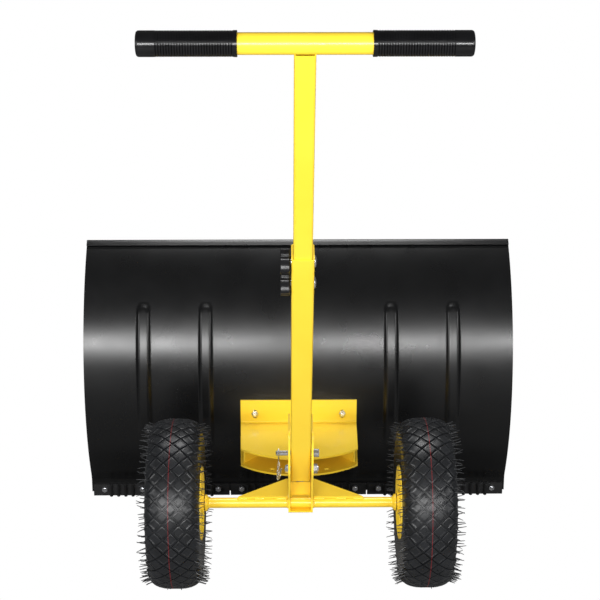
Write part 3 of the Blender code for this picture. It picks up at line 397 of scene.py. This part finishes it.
def sheet_columns():
    """Places across the sheet, close together over the ribs."""
    places = {-BLADE_HALF, BLADE_HALF}
    places.update(round(-0.36 + 0.012 * i, 5) for i in range(61))
    for rib in RIB_PLACES:
        places = {x for x in places if abs(x - rib) > 0.016}
        places.update(round(rib - 0.015 + 0.0015 * i, 5) for i in range(21))
    return sorted(places)


def rib_rise(x, along):
    """How far a rib stands out behind the sheet."""
    nearest = min(abs(x - rib) for rib in RIB_PLACES)
    beyond = max(0.0, along - RIB_TOP)
    off = math.hypot(nearest, beyond) / RIB_HALF
    fade = min(1.0, max(0.0, (along - RIB_START) / RIB_FADE))
    if off >= 1 or along == IN_HEM:
        return 0.0
    return RIB_HEIGHT * fade * math.sin(min(1.0, (1 - off) / 0.55) * math.pi / 2) ** 2


rows = sheet_rows()
columns = sheet_columns()
bpy.ops.object.select_all(action="DESELECT")
bpy.ops.mesh.primitive_grid_add(x_subdivisions=len(columns) - 1, y_subdivisions=len(rows) - 1, size=2)
blade = bpy.context.object
blade.name = "blade_sheet"
for vertex in blade.data.vertices:
    x = columns[round((vertex.co.x + 1) / 2 * (len(columns) - 1))]
    ahead, height, along, facing = rows[round((vertex.co.y + 1) / 2 * (len(rows) - 1))]
    rise = rib_rise(x, along)
    vertex.co = (x, ahead - rise * math.cos(facing), height + rise * math.sin(facing))
bpy.ops.object.mode_set(mode="EDIT")
bpy.ops.mesh.select_all(action="SELECT")
bpy.ops.mesh.flip_normals()
bpy.ops.object.mode_set(mode="OBJECT")
wall = blade.modifiers.new("thickness", "SOLIDIFY")
wall.thickness = SHEET
wall.offset = -1
bpy.ops.object.modifier_apply(modifier="thickness")
blade.data.materials.append(black)
smooth(blade, 50)
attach(blade, "blade_assembly")
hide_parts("blade")


# Wear strips: moulded black rubber pads with upright ribs, bolted behind the blade's foot. Their rubber
# has a faint grain from the mould and a dusty bloom.
def rubber(name, colour, roughness, grain):
    """Moulded rubber with a faint mould grain and a dusty bloom in patches."""
    made = bpy.data.materials.new(name)
    made.use_nodes = True
    tree = made.node_tree
    skin = tree.nodes["Principled BSDF"]
    skin.inputs["Specular IOR Level"].default_value = 0.35
    place = tree.nodes.new("ShaderNodeTexCoord")
    bloom = tree.nodes.new("ShaderNodeTexNoise")
    bloom.inputs["Scale"].default_value = 35
    bloom.inputs["Detail"].default_value = 5
    tree.links.new(place.outputs["Object"], bloom.inputs["Vector"])
    tone = tree.nodes.new("ShaderNodeValToRGB")
    tone.color_ramp.elements[0].position = 0.35
    tone.color_ramp.elements[0].color = (*colour, 1)
    tone.color_ramp.elements[1].position = 0.75
    tone.color_ramp.elements[1].color = (colour[0] * 1.7, colour[1] * 1.7, colour[2] * 1.75, 1)
    tree.links.new(bloom.outputs["Fac"], tone.inputs["Fac"])
    tree.links.new(tone.outputs["Color"], skin.inputs["Base Color"])
    dull = tree.nodes.new("ShaderNodeMapRange")
    dull.inputs["To Min"].default_value = roughness - 0.06
    dull.inputs["To Max"].default_value = roughness + 0.08
    tree.links.new(bloom.outputs["Fac"], dull.inputs["Value"])
    tree.links.new(dull.outputs["Result"], skin.inputs["Roughness"])
    fine = tree.nodes.new("ShaderNodeTexNoise")
    fine.inputs["Scale"].default_value = 1400
    tree.links.new(place.outputs["Object"], fine.inputs["Vector"])
    bump = tree.nodes.new("ShaderNodeBump")
    bump.inputs["Strength"].default_value = grain
    bump.inputs["Distance"].default_value = 0.0002
    tree.links.new(fine.outputs["Fac"], bump.inputs["Height"])
    tree.links.new(bump.outputs["Normal"], skin.inputs["Normal"])
    return made


pad_rubber = rubber("pad_rubber", (0.010, 0.010, 0.0105), 0.55, 0.25)
for name in ("wear_strip_left", "wear_strip_centre", "wear_strip_right"):
    coat(name, pad_rubber)


# Bolts, nuts, pins and washers: zinc-plated steel, bright, with a little tarnish in patches. The wheels'
# bearings are of a slightly darker steel.
def plated(name, colour, roughness):
    """Zinc plating over turned or pressed steel."""
    made = bpy.data.materials.new(name)
    made.use_nodes = True
    tree = made.node_tree
    metal = tree.nodes["Principled BSDF"]
    metal.inputs["Metallic"].default_value = 1.0
    place = tree.nodes.new("ShaderNodeTexCoord")
    stain = tree.nodes.new("ShaderNodeTexNoise")
    stain.inputs["Scale"].default_value = 160
    stain.inputs["Detail"].default_value = 4
    tree.links.new(place.outputs["Object"], stain.inputs["Vector"])
    tone = tree.nodes.new("ShaderNodeValToRGB")
    tone.color_ramp.elements[0].position = 0.3
    tone.color_ramp.elements[0].color = (colour[0] * 0.72, colour[1] * 0.72, colour[2] * 0.74, 1)
    tone.color_ramp.elements[1].position = 0.62
    tone.color_ramp.elements[1].color = (*colour, 1)
    tree.links.new(stain.outputs["Fac"], tone.inputs["Fac"])
    tree.links.new(tone.outputs["Color"], metal.inputs["Base Color"])
    dull = tree.nodes.new("ShaderNodeMapRange")
    dull.inputs["To Min"].default_value = roughness + 0.12
    dull.inputs["To Max"].default_value = roughness - 0.05
    tree.links.new(stain.outputs["Fac"], dull.inputs["Value"])
    tree.links.new(dull.outputs["Result"], metal.inputs["Roughness"])
    return made


zinc = plated("zinc_plate", (0.78, 0.79, 0.81), 0.24)
bearing_steel = plated("bearing_steel", (0.62, 0.62, 0.63), 0.20)
for name in nodes:
    if "bolt" in name or "washer" in name or "cotter" in name or "lock_pin" in name or "plunger" in name:
        coat(name, zinc)
    if "bearing" in name:
        coat(name, bearing_steel)


# Wheels: two pressed discs welded into a rolled rim ring round a hub tube, painted with the frame's
# yellow, and a black air-filled tyre with diamond blocks, a thin red line and the mould's rubber hairs.
for name in nodes:
    if "_disc" in name or "_rim_ring" in name or name.endswith("_hub"):
        coat(name, yellow)
    if "_valve" in name:
        coat(name, pad_rubber)

tyre_rubber = rubber("tyre_rubber", (0.0080, 0.0086, 0.0096), 0.36, 0.3)
LINE_OFFSET = {"left": -0.1965, "right": 0.1935}


def red_line(side):
    """Tyre rubber with the thin red maker's line that runs round the tread."""
    made = tyre_rubber.copy()
    made.name = f"{side}_tyre_rubber"
    tree = made.node_tree
    skin = tree.nodes["Principled BSDF"]
    place = next(item for item in tree.nodes if item.type == "TEX_COORD")
    tone = next(item for item in tree.nodes if item.type == "VALTORGB")
    across = tree.nodes.new("ShaderNodeSeparateXYZ")
    tree.links.new(place.outputs["Object"], across.inputs["Vector"])
    line = tree.nodes.new("ShaderNodeMath")
    line.operation = "COMPARE"
    line.inputs[1].default_value = LINE_OFFSET[side]
    line.inputs[2].default_value = 0.00045
    tree.links.new(across.outputs["X"], line.inputs[0])
    mix = tree.nodes.new("ShaderNodeMix")
    mix.data_type = "RGBA"
    mix.inputs["B"].default_value = (0.15, 0.012, 0.014, 1)
    tree.links.new(line.outputs["Value"], mix.inputs["Factor"])
    tree.links.new(tone.outputs["Color"], mix.inputs["A"])
    tree.links.new(mix.outputs["Result"], skin.inputs["Base Color"])
    return made


WHEEL_MIDDLE = 0.193
TYRE_RADIUS = 0.1313
TYRE_HALF = 0.0408
SECTION_CENTRE = 0.095
BLOCK_RISE = 0.0024
PITCHES = 35
PITCH = 2 * math.pi * TYRE_RADIUS / PITCHES
RING_RADIUS = 0.09
BEAD_TUCK = 0.0062
BEAD_DROP = 0.0430
SIDEWALL_SHARE = 0.6


def crown(a):
    """Side and radius of the section under its blocks, by an angle from its middle to its widest point."""
    side = TYRE_HALF * math.sin(a) ** (2 / 3)
    radius = SECTION_CENTRE + (TYRE_RADIUS - BLOCK_RISE - SECTION_CENTRE) * math.cos(a) ** (2 / 3)
    return side, radius


def section_curve():
    """Points of the tread's section from its middle to the side, as (across, side, radius)."""
    points = []
    across = 0.0
    before = None
    for i in range(181):
        side, radius = crown(math.radians(i / 2))
        if before:
            across += math.hypot(side - before[0], radius - before[1])
        before = (side, radius)
        points.append((across, side, radius))
    return points


SECTION = section_curve()


def on_section(across):
    """Side, radius and outward direction at a distance across the tread from its middle."""
    sign = -1 if across < 0 else 1
    reach = min(abs(across), SECTION[-2][0])
    low = 0
    while low < len(SECTION) - 2 and SECTION[low + 1][0] < reach:
        low += 1
    u0, s0, r0 = SECTION[low]
    u1, s1, r1 = SECTION[low + 1]
    share = (reach - u0) / (u1 - u0)
    length = math.hypot(s1 - s0, r1 - r0)
    return (
        sign * (s0 + (s1 - s0) * share),
        r0 + (r1 - r0) * share,
        -sign * (r1 - r0) / length,
        (s1 - s0) / length,
    )


def wrap(piece, middle):
    """Lays a flat piece of tread, drawn across X and along Y with its height in Z, onto a tyre."""
    for vertex in piece.data.vertices:
        across, along, height = vertex.co
        side, radius, out_side, out_radius = on_section(across)
        turn = along / TYRE_RADIUS
        reach = radius + out_radius * height
        vertex.co = (
            middle + side + out_side * height,
            AXLE_Y - reach * math.cos(turn),
            AXLE_Z + reach * math.sin(turn),
        )


def carcass(name, middle):
    """The tyre's smooth body under its tread blocks, down to the beads."""
    bpy.ops.object.select_all(action="DESELECT")
    bpy.ops.mesh.primitive_torus_add(
        major_segments=96,
        minor_segments=48,
        major_radius=RING_RADIUS,
        minor_radius=0.03,
        location=(middle, AXLE_Y, AXLE_Z),
        rotation=(0, math.pi / 2, 0),
    )
    body = bpy.context.object
    bpy.ops.object.transform_apply(location=True, rotation=True, scale=True)
    for vertex in body.data.vertices:
        side = vertex.co.x - middle
        y, z = vertex.co.y - AXLE_Y, vertex.co.z - AXLE_Z
        radius = math.hypot(y, z)
        turn = abs(math.atan2(side, radius - RING_RADIUS))
        if turn <= math.pi / 2:
            new_side, new_radius = crown(turn)
        else:
            share = (turn - math.pi / 2) / (math.pi / 2)
            if share < SIDEWALL_SHARE:
                down = share / SIDEWALL_SHARE
                new_side = TYRE_HALF - BEAD_TUCK * down**1.8
                new_radius = SECTION_CENTRE - BEAD_DROP * down
            else:
                down = (share - SIDEWALL_SHARE) / (1 - SIDEWALL_SHARE)
                new_side = (TYRE_HALF - BEAD_TUCK) * (1 - down)
                new_radius = SECTION_CENTRE - BEAD_DROP
        sign = -1 if side < 0 else 1
        vertex.co.x = middle + sign * new_side
        vertex.co.y = AXLE_Y + y / radius * new_radius
        vertex.co.z = AXLE_Z + z / radius * new_radius
    body.name = name
    return body


def pick_faces(piece, chosen):
    """Selects, in edit mode, only the faces that pass a test."""
    bpy.ops.mesh.select_all(action="DESELECT")
    shape = bmesh.from_edit_mesh(piece.data)
    for face in shape.faces:
        face.select = chosen(face)
    bmesh.update_edit_mesh(piece.data)


def tread_blocks(name, middle):
    """One pitch of diamond blocks, drawn flat, wrapped on the tyre and repeated round it."""
    reach = PITCH / 2 - 0.0013
    sunk = 0.001
    blocks = []
    for across, along in (
        (0, 0),
        (-PITCH, 0),
        (PITCH, 0),
        (-PITCH / 2, PITCH / 2),
        (PITCH / 2, PITCH / 2),
        (-PITCH * 1.5, PITCH / 2),
        (PITCH * 1.5, PITCH / 2),
    ):
        bpy.ops.object.select_all(action="DESELECT")
        bpy.ops.mesh.primitive_cylinder_add(
            vertices=4, radius=reach, depth=BLOCK_RISE + sunk, location=(0, 0, 0)
        )
        block = bpy.context.object
        bpy.ops.object.mode_set(mode="EDIT")
        bpy.ops.mesh.select_all(action="SELECT")
        bpy.ops.mesh.bevel(offset=0.0006, segments=2)
        pick_faces(block, lambda face: face.normal.z > 0.95 and face.calc_area() > 5e-5)
        bpy.ops.mesh.inset(thickness=0.0016, depth=0.0)
        bpy.ops.mesh.inset(thickness=0.0006, depth=-0.0007)
        bpy.ops.mesh.subdivide(number_cuts=2)
        bpy.ops.object.mode_set(mode="OBJECT")
        for vertex in block.data.vertices:
            vertex.co.x += across
            vertex.co.y += along
            vertex.co.z += (BLOCK_RISE - sunk) / 2
        blocks.append(block)
    tread = joined(blocks)
    wrap(tread, middle)
    bpy.ops.object.mode_set(mode="EDIT")
    bpy.ops.mesh.select_all(action="SELECT")
    bpy.ops.mesh.spin(
        steps=PITCHES - 1,
        dupli=True,
        angle=2 * math.pi * (PITCHES - 1) / PITCHES,
        center=(middle, AXLE_Y, AXLE_Z),
        axis=(1, 0, 0),
    )
    bpy.ops.mesh.select_all(action="SELECT")
    bpy.ops.mesh.normals_make_consistent(inside=False)
    bpy.ops.object.mode_set(mode="OBJECT")
    tread.name = name
    return tread


HAIR_LENGTH = 0.012


def moulding_hairs(name, middle, seed):
    """The thin rubber hairs that the mould's air vents leave on both shoulders and over the crown."""
    chance = random.Random(seed)
    bpy.ops.object.select_all(action="DESELECT")
    bpy.ops.mesh.primitive_cone_add(
        vertices=6, radius1=0.00095, radius2=0.00045, depth=HAIR_LENGTH, location=(0, 0, HAIR_LENGTH / 2)
    )
    hair = bpy.context.object
    bpy.ops.object.transform_apply(location=True, rotation=True, scale=True)
    bpy.ops.object.mode_set(mode="EDIT")
    pick_edges(hair, lambda edge: abs(edge.verts[0].co.z - edge.verts[1].co.z) > 0.005)
    bpy.ops.mesh.subdivide(number_cuts=4)
    bpy.ops.object.mode_set(mode="OBJECT")
    copies = []
    rows = [(0.0400, 70, 1.25), (-0.0400, 70, 1.25), (0.0350, 52, 1.1), (-0.0350, 52, 1.1)]
    rows += [(0.046, 44, 1.05), (-0.046, 44, 1.05), (0.010, 14, 0.5), (-0.010, 14, 0.5)]
    for across, count, length in rows:
        for i in range(count):
            turn = 2 * math.pi * (i + chance.uniform(-0.2, 0.2)) / count
            side, radius, out_side, out_radius = on_section(across + chance.uniform(-0.001, 0.001))
            radial = Vector((0, -math.cos(turn), math.sin(turn)))
            root = Vector((middle + side, AXLE_Y, AXLE_Z)) + radial * (radius - 0.0006)
            outward = Vector((out_side, 0, 0)) + radial * out_radius
            if abs(across) > 0.03:
                outward = outward + Vector((math.copysign(chance.uniform(0.9, 2.2), across), 0, 0))
            along = Vector((1, 0, 0)).cross(radial)
            outward = outward + along * chance.uniform(-0.45, 0.45)
            outward = outward + Vector((chance.uniform(-0.15, 0.15), 0, 0))
            outward.normalize()
            copy = hair.copy()
            copy.data = hair.data.copy()
            stretch = length * chance.uniform(0.75, 1.08)
            bend = along * chance.uniform(-0.0035, 0.0035) + Vector((0, 0, chance.uniform(-0.002, 0.001)))
            stand = outward.to_track_quat("Z", "X").to_matrix()
            for vertex in copy.data.vertices:
                share = vertex.co.z / HAIR_LENGTH
                bare = Vector((vertex.co.x, vertex.co.y, vertex.co.z * stretch))
                vertex.co = root + stand @ bare + bend * share * share
                vertex.co.z = max(vertex.co.z, 0.0004 + 0.0004 * chance.random())
            bpy.context.collection.objects.link(copy)
            copies.append(copy)
    hairs = joined(copies)
    bpy.data.objects.remove(hair)
    hairs.name = name
    return hairs


for side, middle in (("left", -WHEEL_MIDDLE), ("right", WHEEL_MIDDLE)):
    finish = red_line(side)
    body = carcass(f"{side}_tyre_carcass", middle)
    tread = tread_blocks(f"{side}_tyre_tread", middle)
    hairs = moulding_hairs(f"{side}_tyre_hairs", middle, 7 if side == "left" else 11)
    for piece in (body, tread, hairs):
        piece.data.materials.clear()
        piece.data.materials.append(tyre_rubber if piece is hairs else finish)
        smooth(piece, 40)
        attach(piece, f"{side}_wheel")
    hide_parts(f"{side}_wheel_tyre")


# Lock pin's chain, carriage bolts and bracket bolts: bright zinc with a slight blue tone. The chain is of
# oval wire links, from the pin's clip to the pivot bolt.
CHANNEL_HALF = 0.019
POST_LEAN = math.radians(32)


def chain_path():
    """The run of the chain in the leaning post's own place, as points in the world."""
    run = (
        (0.0145, -0.0062, 0.0235),
        (0.0155, -0.0105, 0.0150),
        (0.0160, -0.0135, 0.0030),
        (0.0158, -0.0130, -0.0085),
        (0.0148, -0.0075, -0.0150),
        (0.0132, -0.0010, -0.0155),
        (0.0118, 0.0030, -0.0105),
        (0.0110, 0.0025, -0.0050),
        (0.0106, 0.0010, -0.0010),
    )
    lean = Matrix.Rotation(POST_LEAN, 4, "X")
    pivot = Vector((0, AXLE_Y - 0.0065, AXLE_Z + 0.0599))
    return [pivot + lean @ Vector((-CHANNEL_HALF - x, y, z)) for x, y, z in run]


def along_path(points, distance):
    """Place and direction at a distance along a run of points."""
    for start, end in zip(points, points[1:]):
        step = (end - start).length
        if distance <= step or end is points[-1]:
            return start + (end - start) * (distance / step), (end - start).normalized()
        distance -= step


zinc_bright = plated("zinc_bright", (0.86, 0.87, 0.88), 0.24)


def add_chain():
    """Oval wire links, each turned a quarter from the one before."""
    points = chain_path()
    length = sum((end - start).length for start, end in zip(points, points[1:]))
    pitch = 0.0039
    links = []
    for i in range(int(length / pitch) + 1):
        place, heading = along_path(points, min(i * pitch, length - 1e-6))
        bpy.ops.object.select_all(action="DESELECT")
        bpy.ops.mesh.primitive_torus_add(
            major_segments=20, minor_segments=8, major_radius=0.0020, minor_radius=0.0006, location=(0, 0, 0)
        )
        link = bpy.context.object
        stand = heading.to_track_quat("X", "Z").to_matrix() @ Matrix.Rotation(math.pi / 2 * (i % 2), 3, "X")
        for vertex in link.data.vertices:
            longer = vertex.co.x + math.copysign(0.0009, vertex.co.x)
            vertex.co = place + stand @ Vector((longer, vertex.co.y * 0.92, vertex.co.z))
        links.append(link)
    chain = joined(links)
    chain.name = "lock_pin_chain_links"
    chain.data.materials.append(zinc_bright)
    smooth(chain, 180)
    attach(chain, "post")
    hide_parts("lock_pin_chain")


add_chain()


def domed_head(name, node, body, face):
    """A carriage bolt: a low round dome against the tube's right side, and the bolt through it."""
    low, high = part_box(node)
    centre = ((low[1] + high[1]) / 2, (low[2] + high[2]) / 2)
    radius = (high[1] - low[1]) / 2
    bpy.ops.object.select_all(action="DESELECT")
    bpy.ops.mesh.primitive_uv_sphere_add(segments=40, ring_count=20, radius=1)
    dome = bpy.context.object
    for vertex in dome.data.vertices:
        unit = vertex.co.copy()
        height = max(unit.z, 0.0)
        vertex.co = (
            face + height * (high[0] - face),
            centre[0] + unit.x * radius,
            centre[1] + unit.y * radius,
        )
    dome.name = name
    bpy.ops.object.select_all(action="DESELECT")
    bpy.ops.mesh.primitive_cylinder_add(
        vertices=28,
        radius=0.004,
        depth=face - low[0],
        location=((low[0] + face) / 2, centre[0], centre[1]),
        rotation=(0, math.pi / 2, 0),
    )
    shank = bpy.context.object
    bpy.ops.object.transform_apply(location=True, rotation=True, scale=True)
    shank.name = f"{name}_shank"
    for piece in (dome, shank):
        piece.data.materials.append(zinc_bright)
        smooth(piece, 40)
        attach(piece, body)
    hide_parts(node)


def flange_nut(side, name):
    """A bracket bolt: low head in front of the blade, small hexagon nut and chamfered bolt end behind."""
    height = AXLE_Z + 0.0415
    turn = math.asin((height - CURVE_Z) / REAR_RADIUS)
    outward = Vector((0, -math.cos(turn), math.sin(turn)))
    seat = Vector((side * 0.0756, CURVE_Y, CURVE_Z)) + outward * REAR_RADIUS
    for start, end, radius, count, label in (
        (-0.0046, -0.0022, 0.0088, 32, "head"),
        (-0.0030, 0.0122, 0.0039, 24, "end"),
        (0.0033, 0.0085, 0.0062, 6, "nut"),
    ):
        bpy.ops.object.select_all(action="DESELECT")
        bpy.ops.mesh.primitive_cylinder_add(
            vertices=count,
            radius=radius,
            depth=end - start,
            location=seat + outward * (start + end) / 2,
            rotation=outward.to_track_quat("Z", "X").to_euler(),
        )
        piece = bpy.context.object
        bpy.ops.object.transform_apply(location=True, rotation=True, scale=True)
        bevel = piece.modifiers.new("edges", "BEVEL")
        bevel.width = 0.0006
        bevel.segments = 3
        bpy.ops.object.modifier_apply(modifier="edges")
        piece.name = f"bracket_bolt_{name}_{label}"
        piece.data.materials.append(zinc_bright)
        smooth(piece, 35)
        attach(piece, "blade_assembly")
    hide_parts(f"bracket_bolt_{name}")


flange_nut(-1, "left")
flange_nut(1, "right")

POST_FACE = 0.0153
domed_head("clamp_head_lower", "clamp_bolt_lower", "post", POST_FACE)
domed_head("clamp_head_upper", "clamp_bolt_upper", "post", POST_FACE)


# Handle: yellow tubes, black moulded star knobs, and two ribbed vinyl grips pushed over the handlebar.
bar_low, bar_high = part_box("handlebar")
BAR_CENTRE = ((bar_low[1] + bar_high[1]) / 2, (bar_low[2] + bar_high[2]) / 2)
BAR_HALF = 0.186
BAR_RADIUS = 0.0125
handlebar = turned_bar("handlebar_tube", -BAR_HALF, BAR_HALF, (60,), 56, lambda x: BAR_RADIUS, BAR_CENTRE)
handlebar.data.materials.append(yellow)
smooth(handlebar, 30)
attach(handlebar, "handle")
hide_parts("handlebar")

grip_vinyl = rubber("grip_vinyl", (0.0028, 0.0028, 0.0031), 0.20, 0.04)
GRIP_START = 0.0758
GRIP_END = 0.1888
GRIP_RING = (GRIP_END - GRIP_START) * 8 / 300
GRIP_COLLAR = 0.004
GRIP_CAP = 0.021
CAP_RADIUS = 0.0147
CAP_ROUND = 0.0035


def grip_radius(x):
    """Collar at the inner end, a field of fine rings, and a smooth rounded cap."""
    reach = abs(x)
    if reach > GRIP_END - CAP_ROUND:
        fall = reach - GRIP_END + CAP_ROUND
        return CAP_RADIUS - CAP_ROUND + math.sqrt(max(0.0, CAP_ROUND**2 - fall**2))
    if reach > GRIP_END - GRIP_CAP:
        return CAP_RADIUS
    if reach < GRIP_START + GRIP_COLLAR:
        return 0.0149
    share = (reach - GRIP_START) / GRIP_RING
    return 0.0138 + 0.0010 * abs(math.sin(math.pi * share)) ** 0.7


for side, name in ((-1, "left"), (1, "right")):
    ends = sorted((side * GRIP_START, side * GRIP_END))
    grip = turned_bar(f"grip_sleeve_{name}", ends[0], ends[1], (99, 2), 48, grip_radius, BAR_CENTRE)
    grip.data.materials.append(grip_vinyl)
    smooth(grip, 60)
    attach(grip, "handle")
    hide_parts(f"grip_{name}")

knob_plastic = rubber("knob_plastic", (0.004, 0.004, 0.0045), 0.30, 0.15)
KNOB_RADIUS = 0.018
KNOB_DEPTH = 0.0128
BOSS_DEPTH = 0.0032


def star_knob(place):
    """A six-lobed knob with a shallow dished face and a round boss, on the left end of a clamp bolt."""
    low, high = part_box(f"star_knob_{place}")
    centre = ((low[1] + high[1]) / 2, (low[2] + high[2]) / 2)
    bpy.ops.object.select_all(action="DESELECT")
    bpy.ops.mesh.primitive_cylinder_add(
        vertices=72,
        radius=KNOB_RADIUS,
        depth=KNOB_DEPTH,
        location=(low[0] + 0.0066, centre[0], centre[1]),
        rotation=(0, math.pi / 2, 0),
    )
    knob = bpy.context.object
    bpy.ops.object.transform_apply(location=True, rotation=True, scale=True)
    for vertex in knob.data.vertices:
        y, z = vertex.co.y - centre[0], vertex.co.z - centre[1]
        turn = math.atan2(z, y) - POST_LEAN
        radius = KNOB_RADIUS * (0.905 + 0.088 * math.cos(6 * turn))
        vertex.co.y = centre[0] + math.cos(turn + POST_LEAN) * radius
        vertex.co.z = centre[1] + math.sin(turn + POST_LEAN) * radius
    bpy.ops.object.mode_set(mode="EDIT")
    pick_faces(knob, lambda face: len(face.verts) > 10)
    bpy.ops.mesh.bevel(offset=0.0016, segments=4, affect="EDGES")
    pick_faces(knob, lambda face: len(face.verts) > 10)
    bpy.ops.mesh.inset(thickness=0.0032, depth=-0.0010)
    bpy.ops.object.mode_set(mode="OBJECT")
    knob.name = f"star_knob_{place}_moulding"
    bpy.ops.object.select_all(action="DESELECT")
    bpy.ops.mesh.primitive_cylinder_add(
        vertices=48,
        radius=0.0094,
        depth=BOSS_DEPTH,
        location=(high[0] - BOSS_DEPTH / 2, centre[0], centre[1]),
        rotation=(0, math.pi / 2, 0),
    )
    boss = bpy.context.object
    bpy.ops.object.transform_apply(location=True, rotation=True, scale=True)
    boss.name = f"star_knob_{place}_boss"
    for piece in (knob, boss):
        piece.data.materials.append(knob_plastic)
        smooth(piece, 40)
        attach(piece, f"knob_{place}")
    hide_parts(f"star_knob_{place}")


star_knob("lower")
star_knob("upper")
